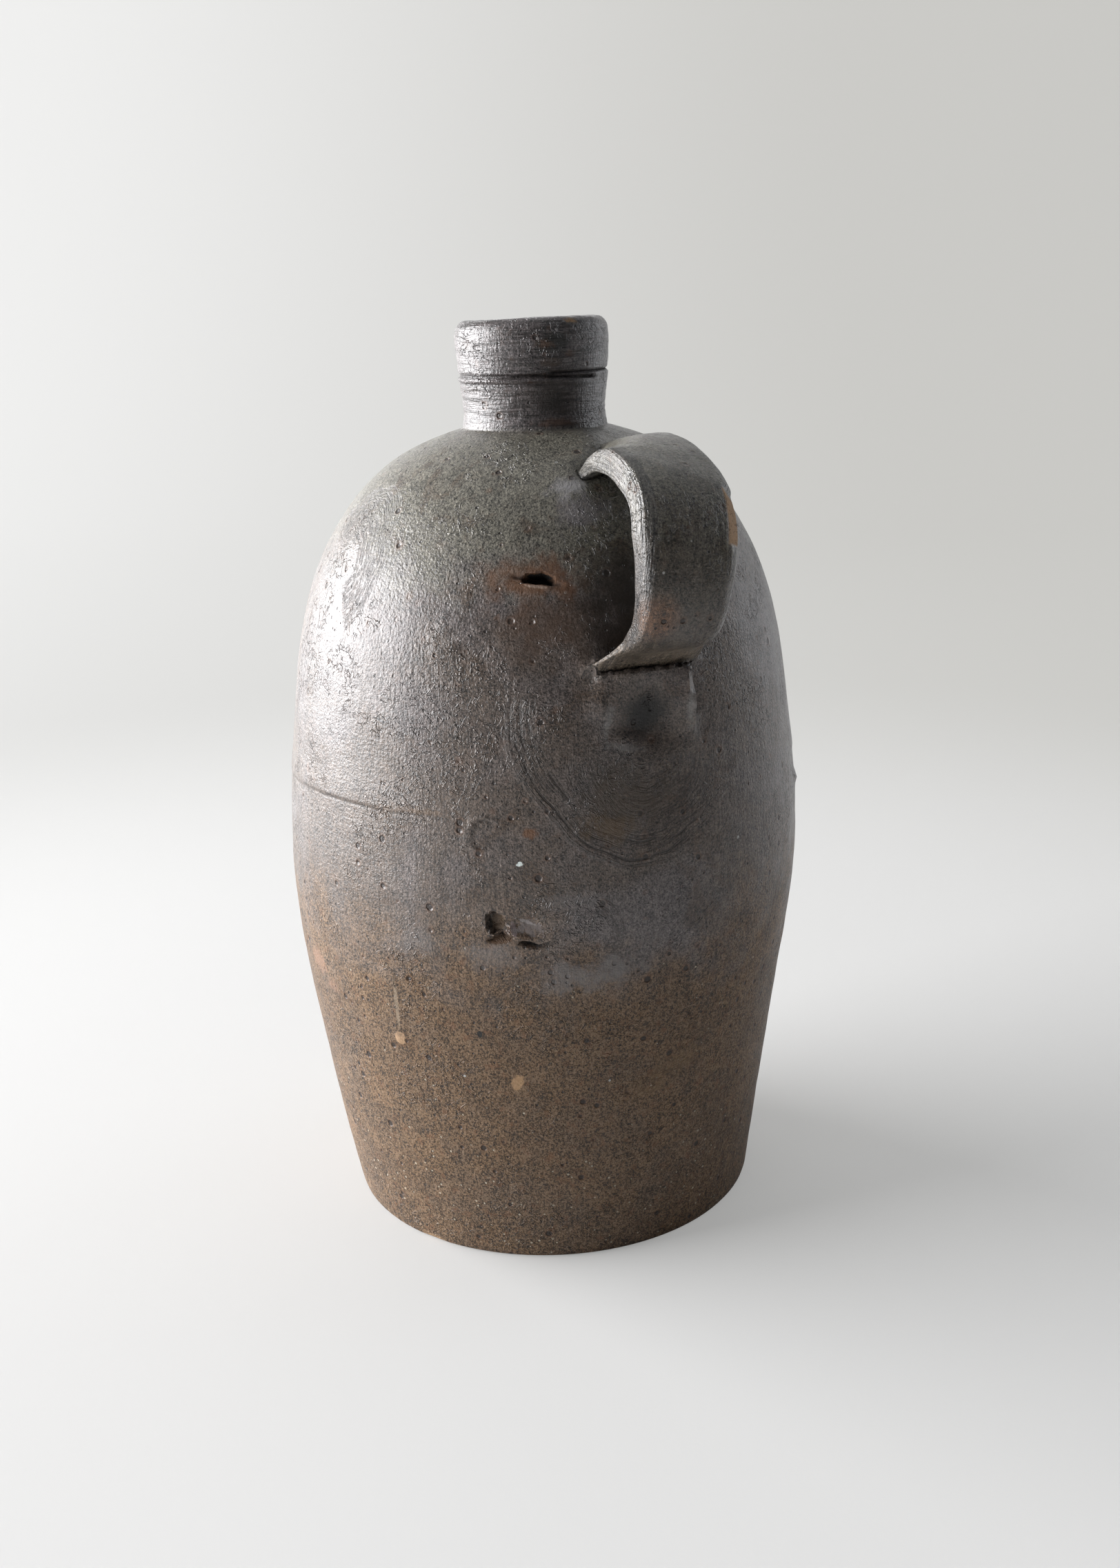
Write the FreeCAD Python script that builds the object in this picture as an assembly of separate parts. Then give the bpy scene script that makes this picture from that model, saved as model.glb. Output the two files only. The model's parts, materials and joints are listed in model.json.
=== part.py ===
import FreeCAD, Part
import math
import os

# Old stoneware jug: a body turned on the wheel in two halves, with a short corked neck
# and one strap handle pressed onto the shoulder and the side. Clay pieces were joined wet
# and fired together, so the jug is one solid. Lengths are in millimetres. The origin is
# the centre of the foot, +Z is up and the handle stands out towards +X.

Vector = FreeCAD.Vector

# Turned body
base_radius = 68.5
base_edge_round = 1.2
belly_radius = 84.9
belly_height = 126.0
neck_foot_height = 258.4
wall = 7.0
floor_thickness = 9.0
floor_corner = 12.0

# Shape of the side from base to belly: share of the belly height, share of the widening
SIDE_SHAPE = [(0.0, 0.0), (0.232, 0.305), (0.579, 0.689), (0.788, 0.915), (1.0, 1.0)]
# Shape of the shoulder from belly to neck: share of the rise, share of the width that is left
SHOULDER_SHAPE = [(0.328, 0.945), (0.659, 0.800), (0.791, 0.653), (0.901, 0.444), (0.967, 0.211), (1.0, 0.0)]

# Ridge where the two thrown halves meet
seam_height = 153.0
seam_width = 5.0
seam_proud = 0.5

# Neck, with a collar above an incised double line
neck_radius = 22.9
neck_waist_radius = 22.5
neck_waist_rise = 4.5
collar_radius = 24.1
collar_rise = 24.0
neck_length = 33.6
groove_rise = 16.6
groove_width = 2.0
groove_depth = 1.3
groove_radius = 23.4
second_groove_drop = 3.0
second_groove_width = 1.2
second_groove_depth = 0.45
lip_outer_round = 3.9
lip_inner_round = 3.0
neck_foot_round = 1.0

# Bore for the cork
bore_radius = 13.5
throat_round = 6.0
throat_drop = 6.2

# Strap handle, seen in its own plane
strap_width = 33.2
strap_narrow_left = 13.4
strap_narrow_right = 13.5
strap_foot_left = 18.4
strap_foot_right = 16.4
strap_thickness = 8.2
strap_lean = 8.8
root_reach = 35.1
root_depth = 3.6
root_skew = 26.0
root_tilt = 24.0
root_buried = 10.0
foot_buried = 8.0
foot_drift = 2.5
strap_rise = 3.4
strap_drop = 30.3
strap_height = 59.0
strap_stand_off = 31.1
foot_stand_off = 3.2
lean_pivot_drop = 9.0

# Tongue of clay smoothed down under the strap, with the thumb's dent
tongue_length = 28.0
tongue_half_width = 17.0
tongue_proud = 4.0
tongue_drift = 8.0
thumb_width = 26.0
thumb_height = 20.0
thumb_depth = 3.6
thumb_drop = 11.5

# Chip broken from the strap's far edge
chip_length = 25.0
chip_bite = 3.0
chip_height = 236.0
chip_turn = 25.0

# Burst blister in the shoulder, a slit that opens into the wall
slit_turn = -21.4
slit_height = 220.6
slit_length = 16.0
slit_opening = 3.4
slit_depth = 5.0

# Gouge in the side: a deep pit, a broken facet beside it and a shallow scar
gouge_height = 120.4
gouge_turn = -31.3
pit_size = 7.0
pit_depth = 3.0
scar_length = 15.0
scar_height = 7.5
scar_depth = 1.3
facet_size = 8.0
facet_depth = 1.6


def body_points():
    """Points of the outside from the base to the neck's foot, as (radius, height)."""
    points = []
    for rise, widening in SIDE_SHAPE:
        radius = base_radius + (belly_radius - base_radius) * widening
        points.append((radius, belly_height * rise))
    shoulder_rise = neck_foot_height - belly_height
    for rise, left in SHOULDER_SHAPE:
        radius = neck_radius + (belly_radius - neck_radius) * left
        points.append((radius, belly_height + shoulder_rise * rise))
    return points


def spline(points):
    """Smooth curve through (radius, height) points, in the XZ plane."""
    curve = Part.BSplineCurve()
    curve.interpolate([Vector(radius, 0, height) for radius, height in points])
    return curve


def arc(start, middle, end):
    """Arc through three (radius, height) points."""
    places = [Vector(radius, 0, height) for radius, height in (start, middle, end)]
    return Part.Arc(*places).toShape()


def line(start, end):
    """Straight edge between two (radius, height) points."""
    return Part.makeLine(Vector(start[0], 0, start[1]), Vector(end[0], 0, end[1]))


def quarter_round(centre, radius, start_angle):
    """Quarter circle about a (radius, height) centre, starting at an angle in degrees."""
    places = []
    for turn in (0, 45, 90):
        angle = math.radians(start_angle + turn)
        places.append((centre[0] + radius * math.cos(angle), centre[1] + radius * math.sin(angle)))
    return arc(*places)


OUTSIDE = spline(body_points())


def parameter_at(height):
    """Place along the outside's curve at a height."""
    low = OUTSIDE.FirstParameter
    high = OUTSIDE.LastParameter
    for _ in range(50):
        middle = (low + high) / 2
        if OUTSIDE.value(middle).z < height:
            low = middle
        else:
            high = middle
    return (low + high) / 2


def outside_radius(height):
    """Radius of the body's outside at a height."""
    return OUTSIDE.value(parameter_at(height)).x


def outside_height(radius):
    """Height at which the shoulder has a radius."""
    low = parameter_at(belly_height)
    high = OUTSIDE.LastParameter
    for _ in range(50):
        middle = (low + high) / 2
        if OUTSIDE.value(middle).x > radius:
            low = middle
        else:
            high = middle
    return OUTSIDE.value((low + high) / 2).z


def inward_point(height, depth):
    """Point of the wall's section that lies a depth inside the outside at a height."""
    place = parameter_at(height)
    point = OUTSIDE.value(place)
    tangent = OUTSIDE.tangent(place)[0]
    return (point.x - tangent.z * depth, point.z + tangent.x * depth)


def inner_points(depth, bottom):
    """Points of the inside at a depth from the outside, from a bottom height to the shoulder."""
    shoulder_rise = neck_foot_height - belly_height
    heights = [bottom, belly_height * 0.45, belly_height * 0.8]
    for rise, _ in SHOULDER_SHAPE[:-1]:
        heights.append(belly_height + shoulder_rise * rise)
    points = [inward_point(height, depth) for height in heights]
    points[0] = (points[0][0], bottom)
    return points


def groove(bottom_edge, top_edge, depth):
    """Pointed cut into the neck between two (radius, height) points."""
    root = ((bottom_edge[0] + top_edge[0]) / 2 - depth, (bottom_edge[1] + top_edge[1]) / 2)
    return [line(bottom_edge, root), line(root, top_edge)]


def neck_edges():
    """Outside of the neck, from its foot up over the lip to the bore."""
    top = neck_foot_height + neck_length
    groove_height = neck_foot_height + groove_rise
    second_height = groove_height - second_groove_drop
    foot_start = (neck_radius + neck_foot_round, outside_height(neck_radius + neck_foot_round))
    foot_end = (neck_radius, neck_foot_height + neck_foot_round)
    waist = (neck_waist_radius, neck_foot_height + neck_waist_rise)
    second_low = (groove_radius - 0.15, second_height - second_groove_width / 2)
    second_high = (groove_radius - 0.1, second_height + second_groove_width / 2)
    groove_low = (groove_radius, groove_height - groove_width / 2)
    groove_high = (groove_radius, groove_height + groove_width / 2)
    collar = (collar_radius, neck_foot_height + collar_rise)
    lip_start = (collar_radius - 0.2, top - lip_outer_round)
    lip_outer_centre = (lip_start[0] - lip_outer_round, lip_start[1])
    lip_inner_centre = (bore_radius + lip_inner_round, top - lip_inner_round)
    return [
        line(foot_start, foot_end),
        spline([foot_end, waist, second_low]).toShape(),
        *groove(second_low, second_high, second_groove_depth),
        line(second_high, groove_low),
        *groove(groove_low, groove_high, groove_depth),
        spline([groove_high, collar, lip_start]).toShape(),
        quarter_round(lip_outer_centre, lip_outer_round, 0),
        line((lip_outer_centre[0], top), (lip_inner_centre[0], top)),
        quarter_round(lip_inner_centre, lip_inner_round, 90),
    ]


def side_edges():
    """Outside of the body from the foot's worn edge up, with the ridge where the two halves meet."""
    edge_top = parameter_at(base_edge_round)
    low = parameter_at(seam_height - seam_width / 2)
    high = parameter_at(seam_height + seam_width / 2)
    shoulder_end = parameter_at(outside_height(neck_radius + neck_foot_round))
    start = OUTSIDE.value(low)
    end = OUTSIDE.value(high)
    crest = (outside_radius(seam_height) + seam_proud, seam_height)
    return [
        line((base_radius - base_edge_round, 0), (OUTSIDE.value(edge_top).x, base_edge_round)),
        OUTSIDE.toShape(edge_top, low),
        arc((start.x, start.z), crest, (end.x, end.z)),
        OUTSIDE.toShape(high, shoulder_end),
    ]


def bore_middle():
    """Height inside the straight bore, where the mouth's hole meets the cavity."""
    return neck_foot_height + (neck_length - lip_inner_round) / 2


def cavity():
    """Room inside the jug, from the floor up into the straight bore."""
    top = bore_middle()
    throat_end = (bore_radius + throat_round, neck_foot_height - throat_drop)
    bore_bottom = (bore_radius, throat_end[1] + throat_round)
    points = inner_points(wall, floor_thickness + floor_corner)
    corner_centre = (points[0][0] - floor_corner, points[0][1])
    return revolve([
        line((0, top), (bore_radius, top)),
        line((bore_radius, top), bore_bottom),
        quarter_round((throat_end[0], bore_bottom[1]), throat_round, 180),
        spline([throat_end] + points[::-1]).toShape(),
        quarter_round(corner_centre, floor_corner, 270),
        line((corner_centre[0], floor_thickness), (0, floor_thickness)),
        line((0, floor_thickness), (0, top)),
    ])


def revolve(edges):
    """Solid turned from a closed section about the jug's axis, with its seam away from the handle."""
    section = Part.Face(Part.Wire(Part.__sortEdges__(edges)))
    section.rotate(Vector(0, 0, 0), Vector(0, 0, 1), 180)
    return section.revolve(Vector(0, 0, 0), Vector(0, 0, 1), 360)


def turned_body():
    """Body and neck turned as one section, with the mouth's hole and no cavity yet."""
    bore_top = neck_foot_height + neck_length - lip_inner_round
    hole_floor = bore_middle()
    inside = [
        line((bore_radius, bore_top), (bore_radius, hole_floor)),
        line((bore_radius, hole_floor), (0, hole_floor)),
        line((0, hole_floor), (0, 0)),
        line((0, 0), (base_radius - base_edge_round, 0)),
    ]
    return revolve(inside + side_edges() + neck_edges())


def strap_places():
    """Centre line of the strap from root to foot, drawn a little aside at the foot."""
    root_height = outside_height(root_reach) - root_depth
    crown_height = root_height + strap_rise
    reach_height = crown_height - strap_drop
    foot_height = crown_height - strap_height
    reach = outside_radius(reach_height) + strap_stand_off
    foot_reach = outside_radius(foot_height) + foot_stand_off
    out = reach - root_reach
    back = reach - foot_reach
    lift = reach_height - foot_height
    return [
        Vector(root_reach, 0, root_height),
        Vector(root_reach + out * 0.33, 0, crown_height),
        Vector(root_reach + out * 0.676, 0, reach_height + strap_drop * 0.861),
        Vector(root_reach + out * 0.904, 0, reach_height + strap_drop * 0.587),
        Vector(reach, 0, reach_height),
        Vector(foot_reach + back * 0.808, foot_drift * 0.3, foot_height + lift * 0.474),
        Vector(foot_reach, foot_drift, foot_height),
    ]


STRAP_PLACES = strap_places()
FOOT_HEIGHT = STRAP_PLACES[-1].z


def lean(shape):
    """Lean a shape sideways about a level line under the strap's foot."""
    leaned = shape.copy()
    leaned.rotate(Vector(0, 0, FOOT_HEIGHT - lean_pivot_drop), Vector(1, 0, 0), -strap_lean)
    return leaned


def strap_section(centre, across, outward, left, right, thickness):
    """Closed curve of the strap's section: a flat oval with a low ridge along each edge."""
    shape = [
        (-1.0, 0.0), (-0.88, 0.72), (-0.62, 1.0), (0.0, 0.82), (0.62, 1.0), (0.88, 0.72),
        (1.0, 0.0), (0.80, -0.80), (0.35, -1.0), (-0.35, -1.0), (-0.80, -0.80),
    ]
    middle = centre + across * ((right - left) / 2)
    points = []
    for sideways, out in shape:
        points.append(middle + across * (sideways * (left + right) / 2) + outward * (out * thickness / 2))
    curve = Part.BSplineCurve()
    curve.interpolate(points, PeriodicFlag=True)
    return Part.Wire([curve.toShape()])


def strap():
    """Strap handle, lofted along its centre line with both ends run into the wall."""
    path = Part.BSplineCurve()
    path.interpolate(STRAP_PLACES)
    length = path.length()
    # shares of the way, of the root's skew, of the narrowing, of the flare to the foot, of the turn to level
    stations = [
        (0.0, 1.0, 0.0, 0.0, 0.0),
        (0.10, 0.72, 0.0, 0.0, 0.0),
        (0.22, 0.30, 0.0, 0.0, 0.0),
        (0.38, 0.0, 0.1, 0.0, 0.0),
        (0.54, 0.0, 0.3, 0.0, 0.0),
        (0.70, 0.0, 0.7, 0.0, 0.2),
        (0.84, 0.0, 1.0, 0.0, 0.6),
        (0.93, 0.0, 1.0, 0.25, 0.9),
        (1.0, 0.0, 1.0, 1.0, 1.0),
    ]
    wires = []
    for share, skewed, narrowed, flare, level in stations:
        place = path.parameterAtDistance(length * share, path.FirstParameter)
        centre = path.value(place)
        along = path.tangent(place)[0]
        skew = math.radians(root_skew * skewed)
        tilt = math.radians(root_tilt * skewed + strap_lean * level)
        across = Vector(0, 1, math.tan(tilt))
        across = (across - along * across.dot(along)).normalize()
        outward = along.cross(across)
        across = across * math.cos(skew) - along * math.sin(skew)
        widths = []
        for narrow, foot in ((strap_narrow_left, strap_foot_left), (strap_narrow_right, strap_foot_right)):
            half = strap_width / 2 + (narrow - strap_width / 2) * narrowed + (foot - narrow) * flare
            widths.append(half / math.cos(skew))
        if share == 0.0:
            start = centre - along * root_buried
            wires.append(strap_section(start, across, outward, *widths, strap_thickness))
        wires.append(strap_section(centre, across, outward, *widths, strap_thickness))
    wires.append(strap_section(centre + along * foot_buried, across, outward, *widths, strap_thickness))
    return lean(Part.makeLoft(wires, True, False))


def tongue_section(height, drift, half_width, proud):
    """Level closed curve of the tongue: a low bulge on the wall, with its back inside the wall."""
    radius = outside_radius(height)
    shape = [
        (-1.0, -0.6), (-0.86, 0.62), (-0.5, 0.96), (0.0, 1.0), (0.5, 0.96), (0.86, 0.62),
        (1.0, -0.6), (0.6, -0.9), (0.0, -0.9), (-0.6, -0.9),
    ]
    points = []
    for sideways, out in shape:
        y = drift + sideways * half_width
        turn = y / radius
        depth = out * proud if out > 0 else out * wall / 2
        points.append(Vector((radius + depth) * math.cos(turn), (radius + depth) * math.sin(turn), height))
    curve = Part.BSplineCurve()
    curve.interpolate(points, PeriodicFlag=True)
    return Part.Wire([curve.toShape()])


def tongue():
    """Tail of the strap, smoothed down over the wall and drawn a little to one side."""
    # share of the length, share of the drift, share of the width, share of the height proud
    stations = [
        (-0.12, 0.0, 1.0, 0.9),
        (0.20, 0.0, 1.0, 1.0),
        (0.44, 0.05, 0.95, 0.95),
        (0.64, 0.26, 0.80, 0.85),
        (0.82, 0.60, 0.58, 0.65),
        (1.0, 1.0, 0.30, 0.12),
    ]
    wires = []
    for length_share, drift_share, width_share, proud_share in stations:
        wires.append(tongue_section(
            FOOT_HEIGHT - tongue_length * length_share,
            foot_drift + tongue_drift * drift_share,
            tongue_half_width * width_share,
            tongue_proud * proud_share,
        ))
    return Part.makeLoft(wires, True, False)


def on_wall(shape, turn, height, sink):
    """Place a shape that points out along +X on the wall, sunk along the wall's normal."""
    point = OUTSIDE.value(parameter_at(height))
    tangent = OUTSIDE.tangent(parameter_at(height))[0]
    tilt = math.degrees(math.atan2(tangent.x, tangent.z))
    placed = shape.copy()
    placed.translate(Vector(-sink, 0, 0))
    placed.rotate(Vector(0, 0, 0), Vector(0, 1, 0), tilt)
    placed.translate(Vector(point.x, 0, point.z))
    placed.rotate(Vector(0, 0, 0), Vector(0, 0, 1), turn)
    return placed


def bowl_cutter(width, height, depth):
    """Ellipsoid whose cap, sunk by a depth, leaves a dent of a width and a height."""
    cap = 0.45
    half_depth = depth / cap
    reach = math.sqrt(1 - (1 - cap) ** 2)
    ball = Part.makeSphere(1.0)
    matrix = FreeCAD.Matrix()
    matrix.scale(half_depth, width / 2 / reach, height / 2 / reach)
    cutter = ball.transformGeometry(matrix)
    cutter.translate(Vector(half_depth - depth, 0, 0))
    return cutter


def prism(outline, depth):
    """Straight-sided cutter from (across, up) corners, pointing in along -X."""
    corners = [Vector(depth, across, up) for across, up in outline]
    face = Part.Face(Part.makePolygon(corners + corners[:1]))
    return face.extrude(Vector(-2 * depth, 0, 0))


def thumb_dent():
    """Hollow left by the thumb that pressed the strap's foot to the wall."""
    cutter = bowl_cutter(thumb_width, thumb_height, thumb_depth)
    turn = math.degrees(foot_drift / outside_radius(FOOT_HEIGHT))
    return on_wall(cutter, turn, FOOT_HEIGHT - thumb_drop, -tongue_proud)


def strap_chip():
    """Shallow scoop that takes the glazed edge off the strap's far side."""
    sag = chip_bite
    half = chip_length / 2
    radius = (half ** 2 + sag ** 2) / (2 * sag)
    reach = outside_radius(chip_height) + strap_stand_off
    edge = (strap_width / 2 + strap_narrow_right) / 2 + radius - chip_bite
    long_enough = strap_thickness * 5
    start = Vector(reach - long_enough / 2, edge, chip_height)
    scoop = Part.makeCylinder(radius, long_enough, start, Vector(1, 0, 0))
    scoop.rotate(Vector(reach, 0, chip_height), Vector(0, 1, 0), chip_turn)
    return lean(scoop)


def burst_slit():
    """Opening of the burst blister: a pointed slit with a ragged upper edge."""
    half = slit_length / 2
    outline = [
        (-half, -0.35 * slit_opening),
        (-0.55 * half, 0.05 * slit_opening),
        (-0.35 * half, 0.45 * slit_opening),
        (-0.05 * half, 0.30 * slit_opening),
        (0.15 * half, 0.55 * slit_opening),
        (0.45 * half, 0.20 * slit_opening),
        (half, 0.0),
        (0.40 * half, -0.40 * slit_opening),
        (-0.40 * half, -0.45 * slit_opening),
    ]
    return on_wall(prism(outline, slit_depth), slit_turn, slit_height, 0)


def gouge_cutters():
    """Deep pit, broken facet and shallow scar of the gouge in the side."""
    half = pit_size / 2
    pit_outline = [(-half, 0.4 * half), (-0.3 * half, half), (0.9 * half, 0.5 * half), (half, -0.5 * half),
                   (0.1 * half, -half), (-0.8 * half, -0.5 * half)]
    radius = outside_radius(gouge_height)
    step = math.degrees((pit_size + scar_length) / 2 / radius)
    pit = on_wall(prism(pit_outline, pit_depth), gouge_turn - step / 2, gouge_height + half / 2, 0)
    scar = on_wall(bowl_cutter(scar_length, scar_height, scar_depth), gouge_turn + step / 2, gouge_height, 0)
    facet_cutter = bowl_cutter(facet_size, facet_size * 0.6, facet_depth)
    facet = on_wall(facet_cutter, gouge_turn - step / 2, gouge_height - pit_size * 0.6, 0)
    return [pit, scar, facet]


def jug():
    """The whole jug as one fired solid."""
    whole = turned_body().fuse([strap().cut(strap_chip()), tongue().cut(thumb_dent())])
    for cutter in [cavity(), burst_slit()] + gouge_cutters():
        whole = whole.cut(cutter)
    return whole.removeSplitter().Solids[0]


def main():
    """Build the jug and write it as a STEP file."""
    os.makedirs("parts", exist_ok=True)
    shape = jug()
    shape.exportStep("parts/jug.step")
    bounds = shape.BoundBox
    print("valid", shape.isValid(), "volume", round(shape.Volume), "faces", len(shape.Faces))
    print("size", round(bounds.XLength, 2), round(bounds.YLength, 2), round(bounds.ZLength, 2))


main()
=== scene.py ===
"""An old salt-glazed stoneware jug with a strap handle, standing on a pale sweep.

The jug is thrown, handled and marked here as one piece of clay, in the place of its solid. Sizes are
in millimetres and become metres where a mesh or a node takes them.
"""

import json
import logging
import math
from collections.abc import Callable
from dataclasses import dataclass, field
from enum import Enum

import bmesh
import bpy
import numpy as np
from mathutils import Matrix, Vector
from mathutils.kdtree import KDTree

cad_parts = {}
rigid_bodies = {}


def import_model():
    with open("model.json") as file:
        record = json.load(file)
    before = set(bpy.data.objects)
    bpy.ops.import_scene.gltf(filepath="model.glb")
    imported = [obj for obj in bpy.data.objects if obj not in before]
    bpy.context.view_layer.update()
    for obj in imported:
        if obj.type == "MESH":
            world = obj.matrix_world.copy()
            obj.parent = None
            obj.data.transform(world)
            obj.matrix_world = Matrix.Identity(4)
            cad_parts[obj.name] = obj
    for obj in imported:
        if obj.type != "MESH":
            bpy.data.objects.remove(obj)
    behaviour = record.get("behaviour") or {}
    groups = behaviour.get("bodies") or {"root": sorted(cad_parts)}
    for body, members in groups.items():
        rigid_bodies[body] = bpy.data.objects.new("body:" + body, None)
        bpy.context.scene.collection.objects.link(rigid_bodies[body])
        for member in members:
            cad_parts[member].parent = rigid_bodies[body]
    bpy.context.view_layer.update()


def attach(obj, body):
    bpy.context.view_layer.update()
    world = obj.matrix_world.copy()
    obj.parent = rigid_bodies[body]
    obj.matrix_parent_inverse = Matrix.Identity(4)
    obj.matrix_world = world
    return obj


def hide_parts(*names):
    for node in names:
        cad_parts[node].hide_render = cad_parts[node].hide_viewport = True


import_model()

MM = 0.001

Array = np.ndarray
Piece = bpy.types.Object
Colour = tuple[float, float, float, float]
Socket = bpy.types.NodeSocket
Feed = Socket | float | tuple[float, ...]

log = logging.getLogger("stoneware_jug")


def smooth_step(low: float, high: float, value: Array) -> Array:
    """Soft step from 0 below one value to 1 above another.

    Args:
        low: Value at which the step starts.
        high: Value at which the step ends.
        value: Values to look up.

    Returns:
        Shares between 0 and 1, of the same shape as the values.
    """
    share = np.clip((value - low) / (high - low), 0.0, 1.0)
    return share * share * (3.0 - 2.0 * share)


def hump(value: Array, width: float) -> Array:
    """Bell curve that is 1 at zero and falls off over a width."""
    return np.exp(-(value / width) ** 2)


def ripple(points: Array, wavelength: float, seed: int) -> Array:
    """Smooth irregular waves through space, the same on each run.

    Args:
        points: Places in millimetres, one row each.
        wavelength: Rough distance between crests in millimetres.
        seed: Which set of waves to take.

    Returns:
        Heights between about -1 and 1, one for each place.
    """
    waves = 9
    draw = np.random.default_rng(seed)
    ways = draw.normal(size=(waves, 3))
    ways /= np.linalg.norm(ways, axis=1)[:, None]
    lengths = wavelength * draw.uniform(0.7, 1.5, waves)
    phases = draw.uniform(0.0, 2.0 * math.pi, waves)
    turns = points @ (ways / lengths[:, None]).T * 2.0 * math.pi + phases
    return np.sin(turns).sum(axis=1) / math.sqrt(waves * 2.0)


class SmoothLine:
    """Natural cubic curve through a few points, measured along its length."""

    SAMPLES = 900

    def __init__(self, points: list[tuple[float, ...]]) -> None:
        """Fits the curve.

        Args:
            points: Places that the curve goes through, in order.
        """
        self.points = np.array(points, float)
        chords = np.linalg.norm(np.diff(self.points, axis=0), axis=1)
        self.knots = np.concatenate([[0.0], np.cumsum(chords)])
        self.bends = self._solve_bends(chords)
        self.knot_samples = np.linspace(0.0, self.knots[-1], self.SAMPLES)
        steps = np.linalg.norm(np.diff(self._at_knot(self.knot_samples), axis=0), axis=1)
        self.run = np.concatenate([[0.0], np.cumsum(steps)])

    def _solve_bends(self, chords: Array) -> Array:
        """Finds how the curve bends at its points, with no bend at the two ends.

        Args:
            chords: Straight distances from point to point.

        Returns:
            Second derivatives, one row for each point.
        """
        count = len(self.points)
        rows = np.eye(count)
        right = np.zeros_like(self.points)
        slopes = np.diff(self.points, axis=0) / chords[:, None]
        for i in range(1, count - 1):
            rows[i, i - 1:i + 2] = chords[i - 1], 2.0 * (chords[i - 1] + chords[i]), chords[i]
            right[i] = 6.0 * (slopes[i] - slopes[i - 1])
        return np.linalg.solve(rows, right)

    def _at_knot(self, knots: Array) -> Array:
        """Points of the curve at values of its own parameter.

        Args:
            knots: Values of the parameter, which grows with the chords.

        Returns:
            One row for each value.
        """
        i = np.clip(np.searchsorted(self.knots, knots, side="right") - 1, 0, len(self.knots) - 2)
        span = self.knots[i + 1] - self.knots[i]
        after = ((knots - self.knots[i]) / span)[:, None]
        before = 1.0 - after
        curve = (before ** 3 - before) * self.bends[i] + (after ** 3 - after) * self.bends[i + 1]
        return before * self.points[i] + after * self.points[i + 1] + curve * (span ** 2)[:, None] / 6.0

    @property
    def length(self) -> float:
        """Whole length of the curve."""
        return float(self.run[-1])

    def at(self, lengths: Array) -> Array:
        """Points of the curve at distances along it.

        Args:
            lengths: Distances from the start.

        Returns:
            One row for each distance.
        """
        return self._at_knot(np.interp(lengths, self.run, self.knot_samples))

    def even(self, spacing: float) -> Array:
        """Points of the curve about a spacing apart, with both ends."""
        return self.at(np.linspace(0.0, self.length, max(2, round(self.length / spacing) + 1)))


class Clay:
    """Small steps of work on a mesh that more than one piece of clay needs."""

    @staticmethod
    def only(piece: Piece) -> None:
        """Selects one object alone and makes it the active one."""
        bpy.ops.object.select_all(action="DESELECT")
        piece.select_set(True)
        bpy.context.view_layer.objects.active = piece

    @staticmethod
    def points(piece: Piece) -> Array:
        """Vertices of a piece in millimetres, one row each."""
        flat = np.empty(len(piece.data.vertices) * 3)
        piece.data.vertices.foreach_get("co", flat)
        return flat.reshape(-1, 3) / MM

    @staticmethod
    def normals(piece: Piece) -> Array:
        """Vertex normals of a piece, one row each."""
        flat = np.empty(len(piece.data.vertices) * 3)
        piece.data.vertex_normals.foreach_get("vector", flat)
        return flat.reshape(-1, 3)

    @staticmethod
    def put(piece: Piece, points: Array) -> None:
        """Moves the vertices of a piece to places in millimetres."""
        piece.data.vertices.foreach_set("co", (points * MM).ravel())
        piece.data.update()

    @staticmethod
    def spun(name: str, outline: Array, turns: list[tuple[float, int]], start: float) -> Piece:
        """Turns a closed outline about the jug's axis.

        Args:
            name: Name of the new object.
            outline: Points as (radius, height), from the axis round to the axis.
            turns: Angles in degrees with the number of steps in each, one full turn in all.
            start: Angle in degrees at which the outline stands.

        Returns:
            The closed solid.
        """
        way = Vector((math.cos(math.radians(start)), math.sin(math.radians(start)), 0.0))
        places = [way * (r * MM) + Vector((0.0, 0.0, z * MM)) for r, z in outline]
        bpy.ops.object.select_all(action="DESELECT")
        bpy.ops.mesh.primitive_plane_add(size=1.0, location=places[0])
        bpy.ops.object.transform_apply(location=True)
        piece = bpy.context.object
        piece.name = piece.data.name = name
        bpy.ops.object.mode_set(mode="EDIT")
        bpy.ops.mesh.select_all(action="SELECT")
        bpy.ops.mesh.merge(type="CENTER")
        for before, after in zip(places, places[1:]):
            bpy.ops.mesh.extrude_region_move(TRANSFORM_OT_translate={"value": after - before})
        bpy.ops.mesh.select_all(action="SELECT")
        for angle, steps in turns:
            bpy.ops.mesh.spin(steps=steps, angle=math.radians(angle), center=(0, 0, 0), axis=(0, 0, 1))
        bpy.ops.mesh.select_all(action="SELECT")
        bpy.ops.mesh.remove_doubles(threshold=0.02 * MM)
        bpy.ops.mesh.normals_make_consistent(inside=False)
        bpy.ops.object.mode_set(mode="OBJECT")
        return piece

    @staticmethod
    def cut_or_join(piece: Piece, other: Piece, operation: str) -> None:
        """Joins another solid to a piece or cuts it away, and deletes the other.

        Args:
            piece: The clay that stays.
            other: The solid that is joined or cut away.
            operation: "UNION" or "DIFFERENCE".
        """
        Clay.only(piece)
        modifier = piece.modifiers.new("join", "BOOLEAN")
        modifier.operation = operation
        modifier.solver = "EXACT"
        modifier.object = other
        bpy.ops.object.modifier_apply(modifier=modifier.name)
        bpy.data.objects.remove(other)


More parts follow.
